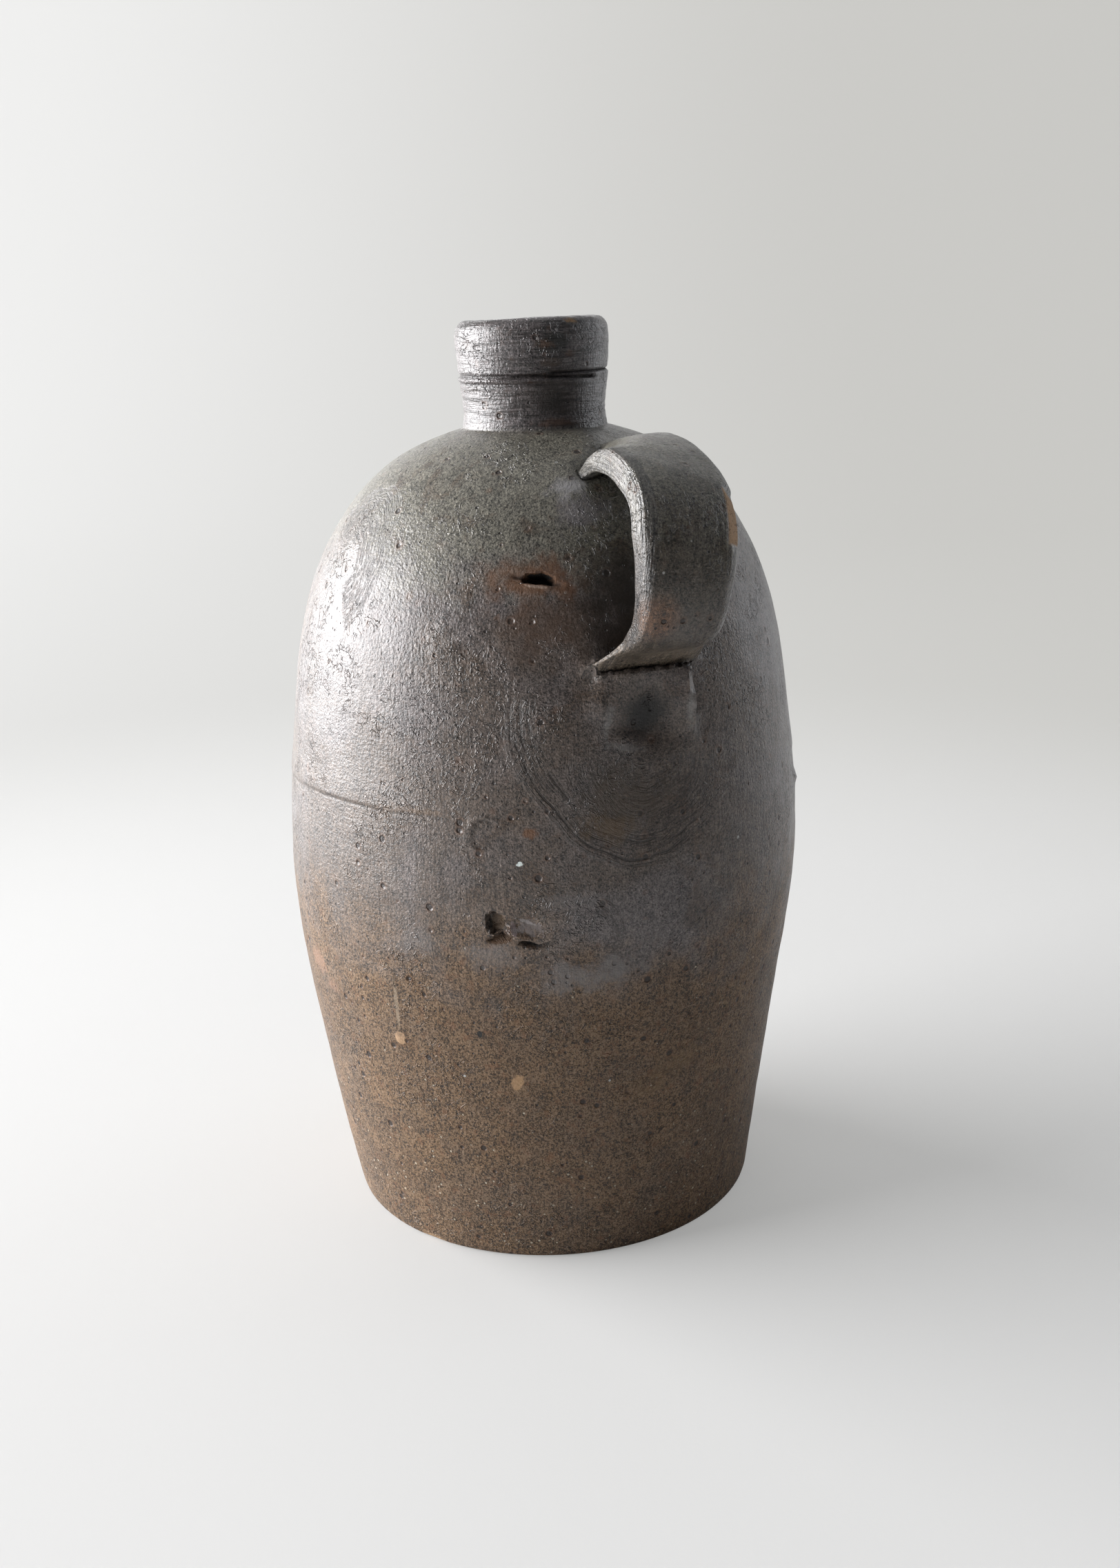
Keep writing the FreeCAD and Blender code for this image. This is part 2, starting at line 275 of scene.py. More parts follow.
@dataclass
class Profile:
    """Sizes of the turned jug, the same as those of its solid."""

    base_radius: float = 68.5
    base_edge: float = 1.2
    belly_radius: float = 84.9
    belly_height: float = 126.0
    neck_foot_height: float = 258.4
    neck_radius: float = 22.9
    collar_radius: float = 24.1
    neck_length: float = 33.6
    bore_radius: float = 13.5
    wall: float = 7.0
    floor: float = 9.0
    side_shape: tuple = ((0.0, 0.0), (0.232, 0.305), (0.579, 0.689), (0.788, 0.915), (1.0, 1.0))
    shoulder_shape: tuple = ((0.328, 0.945), (0.659, 0.800), (0.791, 0.653), (0.901, 0.444), (0.967, 0.211),
                             (1.0, 0.0))

    def __post_init__(self) -> None:
        """Fits the curve of the outside."""
        rise = self.neck_foot_height - self.belly_height
        side = [(self.base_radius + (self.belly_radius - self.base_radius) * wide, self.belly_height * up)
                for up, wide in self.side_shape]
        shoulder = [(self.neck_radius + (self.belly_radius - self.neck_radius) * left, self.belly_height + rise * up)
                    for up, left in self.shoulder_shape]
        self.side = SmoothLine(side + shoulder)
        self.side_samples = self.side.even(0.5)

    def radius(self, height: Array) -> Array:
        """Radius of the body's outside at heights."""
        return np.interp(height, self.side_samples[:, 1], self.side_samples[:, 0])

    def slope(self, height: float) -> float:
        """Lean of the wall away from upright at a height, in radians, positive where it faces up."""
        reach = 2.0
        change = self.radius(height - reach) - self.radius(height + reach)
        return math.atan2(float(change), 2.0 * reach)

    @property
    def top(self) -> float:
        """Height of the lip."""
        return self.neck_foot_height + self.neck_length


@dataclass
class TurnedBody:
    """Body, neck and cavity, thrown as two solids of revolution."""

    profile: Profile
    row: float = 2.0
    seam_row: float = 0.42
    neck_row: float = 0.85
    groove_row: float = 0.40
    inner_row: float = 6.0
    fine_start: float = -118.0
    fine_angle: float = 196.0
    fine_steps: int = 160
    coarse_steps: int = 50
    lip_outer: tuple[float, float] = (3.4, 4.2)
    lip_inner: float = 3.0
    hole_floor: float = 275.0

    def turns(self) -> list[tuple[float, int]]:
        """Fine steps on the side that is seen most, and coarser ones round the back."""
        return [(self.fine_angle, self.fine_steps), (360.0 - self.fine_angle, self.coarse_steps)]

    def neck_points(self) -> list[tuple[float, float]]:
        """Outside of the neck.

        Returns:
            Points as (radius, height), from the foot over the lip into the bore.
        """
        foot = self.profile.neck_foot_height
        top = self.profile.top
        across, down = self.lip_outer
        shape = SmoothLine([(22.92, foot + 1.0), (22.5, foot + 4.5), (23.0, foot + 11.0), (23.5, foot + 14.0),
                            (23.75, foot + 19.0), (24.1, foot + 24.0), (self.profile.collar_radius, top - down)])
        points = [(23.75, foot - 0.32), (23.15, foot - 0.02), (22.98, foot + 0.42)]
        for radius, height in shape.even(0.1):
            near_groove = foot + 12.0 < height < foot + 18.5
            step = self.groove_row if near_groove else self.neck_row
            if height - points[-1][1] >= step:
                points.append((radius, height))
        for turn in np.radians(np.arange(15, 91, 15)):
            points.append((self.profile.collar_radius - across + across * math.cos(turn),
                           top - down + down * math.sin(turn)))
        inner = self.lip_inner
        edge = self.profile.bore_radius + inner
        points.append((edge + 2.0, top))
        for turn in np.radians(np.arange(0, 91, 18)):
            points.append((edge - inner * math.sin(turn), top - inner + inner * math.cos(turn)))
        return points

    def outer(self) -> Piece:
        """Outside with the mouth's hole, solid below it.

        Returns:
            The closed solid, whose pole is at the foot's centre.
        """
        edge = self.profile.base_edge
        base = self.profile.base_radius
        points = [(0.0, 0.0), (20.0, 0.0), (40.0, 0.0), (56.0, 0.0), (base - 2.6, 0.0), (base - 1.0, 0.12),
                  (base - 0.35, 0.45), (base + 0.05, 1.0)]
        for r, z in self.profile.side.even(0.05):
            step = self.seam_row if 150.6 < z < 155.4 else self.row
            if z > edge + 0.6 and r > 24.6 and math.dist((r, z), points[-1]) >= min(step, 0.5 * (r - 22.0)):
                points.append((r, z))
        points += self.neck_points()
        bore = self.profile.bore_radius
        points += [(bore, z) for z in np.arange(self.profile.top - 5.0, self.hole_floor, -2.2)]
        points += [(bore, self.hole_floor), (0.0, self.hole_floor)]
        return Clay.spun("stoneware_jug", np.array(points), self.turns(), self.fine_start)

    def cavity(self) -> Piece:
        """Room inside the jug, from the floor up into the bore.

        Returns:
            The closed solid that is cut out of the clay.
        """
        bore = self.profile.bore_radius - 0.12
        wall, floor, corner = self.profile.wall, self.profile.floor, 12.0
        rows = self.profile.side.even(self.inner_row)
        inside = []
        for height in rows[:, 1]:
            lean = self.profile.slope(height)
            r = float(self.profile.radius(height)) - wall * math.cos(lean)
            z = height - wall * math.sin(lean)
            if floor + corner < z and r > 21.0:
                inside.append((r, z))
        first = inside[0][0] - 0.4
        points = [(0.0, floor)]
        for turn in np.radians(np.arange(-90, 1, 18)):
            points.append((first - corner + corner * math.cos(turn), floor + corner + corner * math.sin(turn)))
        points += inside
        throat = self.profile.neck_foot_height - 6.0
        points += [(17.0, throat + 0.6), (14.6, throat + 2.6), (bore, throat + 6.0)]
        points += [(bore, self.hole_floor + 1.0), (0.0, self.hole_floor + 1.0)]
        return Clay.spun("cavity", np.array(points), [(180.0, 48), (180.0, 48)], self.fine_start)


@dataclass(frozen=True)
class Break:
    """A flat break along the strap's far edge.

    Attributes:
        start: Share of the strap's length at which it starts.
        end: Share of the strap's length at which it ends.
        turn: Turn of the broken face from the strap's outside towards its far edge, in degrees.
        reach: Distance of the broken face from the strap's centre line in millimetres.
    """

    start: float
    end: float
    turn: float
    reach: float

    def past(self, across: Array, out: Array, share: Array) -> Array:
        """How far points of the strap stand past the broken face, in millimetres."""
        turn = math.radians(self.turn)
        inside = np.minimum(smooth_step(self.start - 0.006, self.start + 0.006, share),
                            smooth_step(self.end + 0.012, self.end - 0.012, share))
        return across * math.sin(turn) + out * math.cos(turn) - self.reach - 4.0 * (1.0 - inside)

    def cut(self, section: Array, share: float) -> Array:
        """Section with everything past the broken face taken off."""
        turn = math.radians(self.turn)
        over = np.clip(self.past(section[:, 0], section[:, 1], np.full(len(section), share)), 0.0, None)
        return section - over[:, None] * np.array([math.sin(turn), math.cos(turn)])


@dataclass
class Strap:
    """The pulled strap: a flat band, broad at the root and narrower below, pressed on at its two ends."""

    profile: Profile
    thickness: float = 8.2
    lean: float = 8.8
    root_reach: float = 35.1
    root_depth: float = 3.6
    root_buried: float = 7.0
    foot_buried: float = 6.0
    foot_drift: float = 2.5
    rise: float = 3.4
    drop: float = 30.3
    height: float = 59.0
    stand_off: float = 31.1
    foot_stand_off: float = 3.2
    pivot_drop: float = 9.0
    root_skew: float = 26.0
    root_tilt: float = 24.0
    spacing: float = 1.15
    around: int = 92
    left_half: tuple = ((0.0, 16.9), (0.60, 16.7), (0.68, 15.2), (0.76, 13.7), (0.84, 13.0), (0.90, 13.3), (0.96, 15.2),
                        (1.0, 18.4))
    right_half: tuple = ((0.0, 16.8), (0.155, 16.6), (0.172, 15.2), (0.40, 15.6), (0.52, 14.6), (0.62, 14.3),
                         (0.76, 13.9), (0.86, 12.9), (0.93, 13.6), (1.0, 16.0))
    left_round: tuple = ((0.0, 1.1), (0.42, 1.3), (0.56, 2.6), (1.0, 3.2))
    right_round: tuple = ((0.0, 2.6), (0.30, 3.6), (0.55, 5.6), (1.0, 5.8))
    inner_round: float = 1.1
    root_drop: float = 6.0
    root_drop_end: float = 0.30
    foot_thinning: float = 0.76
    breaks: tuple = (Break(0.475, 0.625, 40.0, 9.3), Break(0.385, 0.47, 36.0, 11.2))

    def __post_init__(self) -> None:
        """Fits the centre line."""
        self.line = SmoothLine(self.places())
        self.foot_height = float(self.line.points[-1][2])

    def places(self) -> list[tuple[float, float, float]]:
        """Points of the centre line, before the strap's lean.

        Returns:
            Places in millimetres, from root to foot.
        """
        shoulder = self.profile.side_samples[self.profile.side_samples[:, 1] > self.profile.belly_height]
        root_height = float(np.interp(-self.root_reach, -shoulder[:, 0], shoulder[:, 1])) - self.root_depth
        crown = root_height + self.rise
        bend = crown - self.drop
        foot = crown - self.height
        reach = float(self.profile.radius(bend)) + self.stand_off
        foot_reach = float(self.profile.radius(foot)) + self.foot_stand_off
        out, back, lift = reach - self.root_reach, reach - foot_reach, bend - foot
        return [
            (self.root_reach, 0.0, root_height),
            (self.root_reach + out * 0.33, 0.0, crown),
            (self.root_reach + out * 0.676, 0.0, bend + self.drop * 0.861),
            (self.root_reach + out * 0.904, 0.0, bend + self.drop * 0.587),
            (reach, 0.0, bend),
            (foot_reach + back * 0.808, self.foot_drift * 0.3, foot + lift * 0.474),
            (foot_reach, self.foot_drift, foot),
        ]

    def leaned(self, points: Array) -> Array:
        """Leans points sideways about a level line under the strap's foot."""
        turn = math.radians(-self.lean)
        pivot = self.foot_height - self.pivot_drop
        y, z = points[:, 1], points[:, 2] - pivot
        return np.column_stack([points[:, 0], y * math.cos(turn) - z * math.sin(turn),
                                y * math.sin(turn) + z * math.cos(turn) + pivot])

    def ring(self, share: float) -> tuple[Array, Array, Array, float]:
        """Finds how the strap's section stands.

        Args:
            share: Share of the strap's length.

        Returns:
            The centre, the way across, the way out and the stretch of the width.
        """
        step = 0.2
        length = share * self.line.length
        centre = self.line.at(np.array([length]))[0]
        ends = self.line.at(np.clip([length - step, length + step], 0.0, self.line.length))
        along = (ends[1] - ends[0]) / np.linalg.norm(ends[1] - ends[0])
        skewed = float(np.interp(share, (0.0, 0.10, 0.22, 0.38), (1.0, 0.72, 0.30, 0.0)))
        level = float(np.interp(share, (0.54, 0.70, 0.84, 0.93, 1.0), (0.0, 0.2, 0.6, 0.9, 1.0)))
        skew = math.radians(self.root_skew * skewed)
        tilt = math.radians(self.root_tilt * skewed + self.lean * level)
        across = np.array([0.0, 1.0, math.tan(tilt)])
        across -= along * across.dot(along)
        across /= np.linalg.norm(across)
        outward = np.cross(along, across)
        across = across * math.cos(skew) - along * math.sin(skew)
        return centre, across, outward, 1.0 / math.cos(skew)

    @staticmethod
    def _at(table: tuple, share: float) -> float:
        """Value of a table of (share, value) rows at a share."""
        return float(np.interp(share, *zip(*table)))

    def section(self, share: float) -> Array:
        """Closed section at a share of the length, as (across, outward) rows in millimetres.

        Args:
            share: Share of the strap's length.

        Returns:
            Points an even distance apart, from the far side over the outside.
        """
        left, right = -self._at(self.left_half, share), self._at(self.right_half, share)
        half = self.thickness / 2.0
        rows = []
        for x, y, radius, start in ((right, half, self._at(self.right_round, share), 0.0),
                                    (left, half, self._at(self.left_round, share), 90.0),
                                    (left, -half, self.inner_round, 180.0), (right, -half, self.inner_round, 270.0)):
            centre = (x - math.copysign(radius, x), y - math.copysign(radius, y))
            for turn in np.radians(np.arange(start, start + 91.0, 9.0)):
                rows.append((centre[0] + radius * math.cos(turn), centre[1] + radius * math.sin(turn)))
        rows.append(rows[0])
        corners = np.array(rows)
        run = np.concatenate([[0.0], np.cumsum(np.linalg.norm(np.diff(corners, axis=0), axis=1))])
        steps = np.linspace(0.0, run[-1], self.around, endpoint=False)
        across, out = np.interp(steps, run, corners[:, 0]), np.interp(steps, run, corners[:, 1])
        outside = smooth_step(0.0, 0.8 * half, out)
        out = out + outside * (0.5 - 0.9 * (across / 16.0) ** 2)
        low = float(smooth_step(0.50, 0.80, np.array(share)))
        for line, depth in ((-11.2, 0.28), (-8.6, 0.22), (-4.6, 0.14)):
            out = out - outside * low * depth * (hump(across - line, 0.6) - 0.6 * hump(across - line + 1.1, 0.7))
        thin = 1.0 - self.foot_thinning * float(smooth_step(0.80, 0.97, np.array(share)))
        out = -half + (out + half) * thin
        drop = self.root_drop * max(0.0, 1.0 - share / self.root_drop_end)
        near_left = smooth_step(1.0, -15.0, across)
        out = -half + (out + half) * (1.0 - drop / self.thickness * near_left)
        section = np.column_stack([across, out])
        for broken in self.breaks:
            section = broken.cut(section, share)
        return section

    def frames(self, shares: Array) -> tuple[Array, Array, Array]:
        """Leaned centre points with the leaned ways across and out, one row for each share."""
        rows = [self.ring(share)[:3] for share in shares]
        centres = self.leaned(np.array([row[0] for row in rows]))
        ways = [self.leaned(np.array([row[0] + row[side] for row in rows])) - centres for side in (1, 2)]
        return centres, ways[0], ways[1]

    def coordinates(self, points: Array) -> tuple[Array, Array, Array]:
        """Finds where points lie on the strap.

        Args:
            points: Places in millimetres, one row each.

        Returns:
            Distance across, distance out and share of the length for each point.
        """
        shares = np.linspace(0.0, 1.0, 231)
        centres, across, outward = self.frames(shares)
        nearest = np.array([np.argmin(((centres - point) ** 2).sum(axis=1)) for point in points], int)
        away = points - centres[nearest]
        return (away * across[nearest]).sum(axis=1), (away * outward[nearest]).sum(axis=1), shares[nearest]

    def points(self) -> Array:
        """Rings of the strap.

        Returns:
            Points in millimetres, one set for each ring from the buried root to the buried foot.
        """
        count = round(self.line.length / self.spacing)
        shares = np.linspace(0.0, 1.0, count + 1)
        rings = []
        for share in shares:
            centre, across, outward, stretch = self.ring(share)
            section = self.section(share)
            rings.append(centre + section[:, :1] * stretch * across + section[:, 1:] * outward)
        first = self.line.at(np.array([0.0, 1.0]))
        last = self.line.at(np.array([self.line.length - 1.0, self.line.length]))
        rings.insert(0, rings[0] - (first[1] - first[0]) * self.root_buried)
        rings.append(rings[-1] + (last[1] - last[0]) * self.foot_buried)
        return np.array([self.leaned(ring) for ring in rings])

    def build(self) -> Piece:
        """Pulls the strap ring by ring.

        Returns:
            The closed strap with both ends run into the wall.
        """
        rings = self.points()
        bpy.ops.object.select_all(action="DESELECT")
        bpy.ops.mesh.primitive_circle_add(vertices=self.around, radius=2.0 * self.thickness * MM, fill_type="NGON")
        piece = bpy.context.object
        bpy.ops.object.mode_set(mode="EDIT")
        bpy.ops.mesh.select_all(action="SELECT")
        step = self.spacing * MM
        for _ in rings[1:]:
            bpy.ops.mesh.extrude_region_move(TRANSFORM_OT_translate={"value": (0.0, 0.0, step)})
        bpy.ops.object.mode_set(mode="OBJECT")
        rough = Clay.points(piece)
        level = np.rint(rough[:, 2] / self.spacing).astype(int)
        turn = np.arctan2(rough[:, 1], rough[:, 0])
        column = np.rint(turn / (2.0 * math.pi) * self.around).astype(int) % self.around
        Clay.put(piece, rings[level, column])
        Clay.only(piece)
        bpy.ops.object.mode_set(mode="EDIT")
        bpy.ops.mesh.select_all(action="SELECT")
        bpy.ops.mesh.normals_make_consistent(inside=False)
        bpy.ops.object.mode_set(mode="OBJECT")
        return piece


@dataclass(frozen=True)
class Place:
    """A place on the wall, with the half sizes and the roll of what is there.

    Attributes:
        turn: Angle about the jug's axis in degrees, with the handle at 0.
        height: Height in millimetres.
        half_width: Half of the width in millimetres.
        half_height: Half of the height in millimetres.
        roll: Turn about the wall's own outward direction in degrees.
        reach: Distance from the jug's axis in millimetres, where it isn't on the wall.
    """

    turn: float
    height: float
    half_width: float
    half_height: float
    roll: float = 0.0
    reach: float = 0.0

    DEPTH = 14.0
    FAR_SIDE = 3.0
    NOWHERE = 99.0

    def centre(self, profile: Profile) -> Vector:
        """Finds the place on the wall.

        Args:
            profile: The jug's sizes.

        Returns:
            The place in millimetres, before the jug's slump.
        """
        if self.reach > 0.0:
            radius = self.reach
        elif self.height > profile.neck_foot_height:
            radius = profile.collar_radius
        else:
            radius = float(profile.radius(self.height))
        turn = math.radians(self.turn)
        return Vector((radius * math.cos(turn), radius * math.sin(turn), self.height))

    def frame(self) -> Matrix:
        """Axes of the place: out, across and up the wall."""
        return Matrix.Rotation(math.radians(self.turn), 3, "Z") @ Matrix.Rotation(math.radians(self.roll), 3, "X")

    def local(self, points: Array, profile: Profile) -> Array:
        """Finds where points lie from the place, with those on the jug's far side sent away.

        Args:
            points: Places in millimetres, one row each.
            profile: The jug's sizes.

        Returns:
            Rows of (out, across, up) in depths and half sizes of the place.
        """
        axes = np.array(self.frame())
        away = points - np.array(self.centre(profile))
        found = away @ axes / np.array([self.DEPTH, self.half_width, self.half_height])
        found[np.abs(found[:, 0]) > self.FAR_SIDE, 1:] = self.NOWHERE
        return found


@dataclass
class Lean:
    """How the soft clay slumped sideways: the thrown jug isn't quite upright."""

    heights: tuple = (0.0, 58.4, 146.0, 219.0, 257.0, 292.0)
    shifts: tuple = (0.0, -0.85, 0.75, 1.29, 2.04, 1.71)
    way: tuple[float, float] = (0.362, 0.932)

    def __post_init__(self) -> None:
        """Fits the curve of the slump."""
        self.samples = SmoothLine(list(zip(self.heights, self.shifts))).even(1.0)

    def shift(self, height: Array) -> Array:
        """Sideways move at heights, in millimetres."""
        return np.interp(height, self.samples[:, 0], self.samples[:, 1])

    def moved(self, points: Array) -> Array:
        """Points moved sideways."""
        moved = points.copy()
        moved[:, :2] += self.shift(points[:, 2])[:, None] * np.array(self.way)
        return moved


class Relief:
    """Heights pressed into the clay, and the painted shade laid into the cuts among them."""

    def __init__(self, points: Array, wall: Array) -> None:
        """Starts with untouched clay.

        Args:
            points: Places of the vertices in millimetres, one row each.
            wall: How far each belongs to the body's outside, from 0 to 1.
        """
        self.points = points
        self.wall = wall
        self.height = np.zeros(len(points))
        # Painted shade: how far each vertex is darkened for lying in a cut, crease or dent.
        self.dark = np.zeros(len(points))

    def add(self, height: Array) -> None:
        """Raises or lowers the clay."""
        self.height += height

    def cut(self, shape: Array, depth: float, dark: float) -> None:
        """Cuts a shape into the clay, and lays painted shade in it."""
        self.height -= depth * shape
        self.dark = np.maximum(self.dark, np.clip(dark * shape, 0.0, 1.0))


@dataclass
class Marks:
    """What hands, wheel and kiln left in the clay, pressed into the finished mesh."""

    profile: Profile
    ring_mark: Place = Place(-33.4, 148.7, 4.8, 5.2, 12.0)
    drip: Place = Place(-55.0, 92.0, 1.5, 13.0, -2.0)
    blob: Place = Place(-55.6, 78.6, 2.4, 2.7)
    wrinkle: Place = Place(-53.5, 102.0, 8.0, 11.0)
    crinkle: Place = Place(-39.5, 205.0, 10.0, 9.0)
    slit: Place = Place(-21.1, 220.4, 4.5, 2.0, -6.0)
    slit_ends: Place = Place(-21.5, 220.1, 8.0, 0.7, -11.0)
    pit: Place = Place(-31.2, 121.6, 3.0, 3.4)
    facet: Place = Place(-30.4, 116.6, 4.4, 1.9, 8.0)
    scar: Place = Place(-25.3, 120.4, 6.0, 3.4, -10.0)
    gash: Place = Place(-24.6, 115.0, 3.2, 0.9, -14.0)
    bump: Place = Place(58.1, 143.6, 3.0, 3.0)
    neck_wrinkle: Place = Place(-29.0, 265.5, 6.0, 5.5)

    def wall_share(self, points: Array) -> Array:
        """How far each point belongs to the outside of the wall, from 0 to 1."""
        radius = np.hypot(points[:, 0], points[:, 1])
        off = np.abs(radius - self.profile.radius(points[:, 2]))
        below = smooth_step(self.profile.neck_foot_height + 1.0, self.profile.neck_foot_height - 3.0, points[:, 2])
        return smooth_step(4.5, 2.0, off) * below * smooth_step(0.2, 2.0, points[:, 2])

    def throwing(self, points: Array) -> Array:
        """Slow swells and wheel rings of the thrown wall."""
        ringed = np.column_stack([points[:, 0] * 0.12, points[:, 1] * 0.12, points[:, 2]])
        return 0.22 * ripple(points, 62.0, 4) + 0.07 * ripple(ringed, 9.0, 11) + 0.05 * ripple(points, 14.0, 8)

    def seam(self, relief: Relief) -> None:
        """Ridge and crack where the two thrown halves meet, nearly smoothed away on one side.

        Args:
            relief: The clay that it is pressed into.
        """
        points, wall = relief.points, relief.wall
        turn = np.degrees(np.arctan2(points[:, 1], points[:, 0]))
        known = [(-180.0, 152.6), (-96.0, 151.5), (-84.2, 152.8), (-69.8, 153.4), (-60.6, 153.5), (-58.3, 152.9),
                 (-53.6, 153.4), (-37.4, 153.9), (180.0, 152.6)]
        line = np.interp(turn, *zip(*known)) + 0.16 * ripple(points, 6.0, 5)
        strong = 0.18 + 0.82 * smooth_step(-38.0, -60.0, turn) * smooth_step(-150.0, -120.0, turn)
        strong = np.maximum(strong, 0.7 * smooth_step(46.0, 60.0, turn)) * wall
        over = points[:, 2] - line
        relief.add(strong * 0.28 * smooth_step(-0.7, 0.7, over) * smooth_step(11.0, 1.0, over))
        relief.cut(strong * hump(over + 0.35, 0.30) * (0.6 + 0.7 * ripple(points, 9.0, 6)), 0.30, 0.55)

    def tongue(self, relief: Relief) -> None:
        """Clay smoothed down under the strap's foot, with raised edges and the thumb's dent between them.

        Args:
            relief: The clay that it is pressed into.
        """
        points, wall = relief.points, relief.wall
        across = points[:, 1] - 1.5
        up = points[:, 2]
        front = wall * smooth_step(20.0, 40.0, points[:, 0]) * smooth_step(201.0, 196.0, up)
        wander = 0.5 * ripple(points, 7.0, 14)
        left = -15.2 - 0.9 * smooth_step(190.0, 184.0, up) + 12.5 * smooth_step(184.0, 173.5, up) ** 1.5 + wander
        right = 14.6 + 1.9 * smooth_step(191.0, 175.0, up)
        inside = smooth_step(-1.8, 1.6, across - left) * smooth_step(1.3, -1.3, across - right)
        lift = 3.4 * smooth_step(172.0, 186.0, up) * smooth_step(199.0, 193.0, up)
        lift = lift * (0.45 + 0.55 * smooth_step(0.0, 10.0, across - left))
        reach = ((across + 0.6) / 9.6) ** 2 + ((up - 182.0) / 8.4) ** 2
        dent = 3.5 * np.exp(-reach ** 1.35)
        rim = 0.55 * hump(across - left - 1.5, 1.1) * smooth_step(172.0, 176.0, up)
        ridge = 1.5 * hump(across - right + 2.0, 1.7) * smooth_step(167.0, 176.0, up) * smooth_step(197.0, 190.0, up)
        relief.add(front * (inside * (lift - dent) + rim + ridge))
        # Painted shade in the thumb's dent: this cut has no depth and only darkens. The two below darken the grooves
        # along the tongue's edges.
        relief.cut(front * np.exp(-(reach * 1.5) ** 1.1), 0.0, 0.6)
        relief.cut(front * hump(across - right - 0.8, 0.6) * smooth_step(171.0, 176.0, up), 0.5, 0.5)
        relief.cut(front * hump(across - left + 0.5, 0.5) * smooth_step(173.0, 178.0, up), 0.3, 0.4)

    def join(self, relief: Relief, strap_share: Array, root: Array, foot: Array) -> None:
        """Clay smeared round the strap's root, and the crease under its foot.

        Args:
            relief: The clay that it is pressed into.
            strap_share: How far each vertex belongs to the strap.
            root: Distance of each from the line where the root meets the wall.
            foot: Distance of each from the line where the foot meets the wall.
        """
        wall = 1.0 - strap_share
        left = smooth_step(14.0, 2.0, relief.points[:, 1])
        relief.add(wall * left * 2.6 * np.exp(-(root / 9.5) ** 1.4))
        relief.add(strap_share * 0.40 * hump(foot - 1.1, 0.8))
        # Painted shadow line along the crease under the strap's foot.
        relief.cut(np.exp(-(foot / 0.50) ** 2), 0.3, 0.7)

    def gathered(self, relief: Relief) -> None:
        """Drip with its blob, wrinkled and crinkled patches, the ring mark and a small bump.

        Args:
            relief: The clay that they are pressed into.
        """
        points, wall = relief.points, relief.wall
        ring = self.ring_mark.local(points, self.profile)
        reach = np.hypot(ring[:, 1], ring[:, 2])
        angle = np.arctan2(ring[:, 2], ring[:, 1])
        egg = 1.0 + 0.10 * np.cos(2.0 * angle - 0.6) + 0.06 * np.cos(3.0 * angle + 1.0)
        lit_side = 0.55 + 0.45 * np.cos(angle - 2.6)
        relief.add(wall * 0.5 * lit_side * hump(reach - egg, 0.12))
        relief.cut(wall * lit_side * hump(reach - egg + 0.17, 0.07), 0.2, 0.7)
        drip = self.drip.local(points, self.profile)
        relief.add(wall * 0.7 * hump(drip[:, 1], 0.6) * smooth_step(1.05, 0.9, np.abs(drip[:, 2])))
        blob = self.blob.local(points, self.profile)
        relief.add(wall * 0.8 * smooth_step(1.1, 0.6, np.hypot(blob[:, 1], blob[:, 2])))
        relief.cut(wall * hump(np.hypot(blob[:, 1] - 0.1, blob[:, 2] - 0.45), 0.30), 0.9, 0.7)
        for place, seed in ((self.wrinkle, 21), (self.crinkle, 22)):
            patch = place.local(points, self.profile)
            inside = smooth_step(1.1, 0.6, np.hypot(patch[:, 1], patch[:, 2]))
            relief.add(wall * 0.85 * inside * np.clip(ripple(points, 3.6, seed), -0.2, 1.0))
        bump = self.bump.local(points, self.profile)
        relief.add(wall * 0.9 * hump(np.hypot(bump[:, 1], bump[:, 2]), 0.7))

    def damage(self, relief: Relief) -> None:
        """Burst slit and gouge.

        Args:
            relief: The clay that they are cut into.
        """
        points, wall = relief.points, relief.wall
        slit = self.slit.local(points, self.profile)
        upper = 0.25 + 0.55 * smooth_step(-1.0, -0.4, slit[:, 1]) * smooth_step(1.05, 0.5, slit[:, 1])
        upper += 0.16 * np.sin(slit[:, 1] * 6.0 + 0.7) * smooth_step(1.0, 0.6, np.abs(slit[:, 1]))
        inside = smooth_step(0.14, -0.14, slit[:, 2] - upper) * smooth_step(-0.62, -0.3, slit[:, 2])
        relief.cut(wall * inside * smooth_step(1.02, 0.85, np.abs(slit[:, 1])), 4.6, 1.0)
        relief.add(wall * 0.4 * hump(slit[:, 2] + 0.85, 0.3) * smooth_step(1.1, 0.6, np.abs(slit[:, 1])))
        ends = self.slit_ends.local(points, self.profile)
        relief.cut(wall * hump(ends[:, 2], 0.7) * smooth_step(1.0, 0.75, np.abs(ends[:, 1])), 0.9, 0.8)
        pit = self.pit.local(points, self.profile)
        corner = np.abs(pit[:, 1]) ** 2.2 + np.abs(pit[:, 2]) ** 2.0 + 0.35 * pit[:, 1] * pit[:, 2]
        corner += 0.3 * ripple(points, 2.2, 32)
        relief.cut(wall * smooth_step(1.15, 0.75, corner) * (0.75 - 0.25 * pit[:, 1]), 2.5, 0.35)
        facet = self.facet.local(points, self.profile)
        wedge = smooth_step(1.1, 0.8, np.abs(facet[:, 1]) + np.abs(facet[:, 2]) * 0.9)
        relief.cut(wall * wedge * smooth_step(-1.2, 1.0, facet[:, 2]), 2.1, 0.2)
        scar = self.scar.local(points, self.profile)
        rough = 0.9 + 0.5 * ripple(points, 2.6, 31)
        relief.cut(wall * smooth_step(1.1, 0.75, np.hypot(scar[:, 1], scar[:, 2])) * rough, 1.1, 0.15)
        gash = self.gash.local(points, self.profile)
        relief.cut(wall * smooth_step(1.1, 0.7, np.hypot(gash[:, 1], gash[:, 2])), 1.5, 0.9)

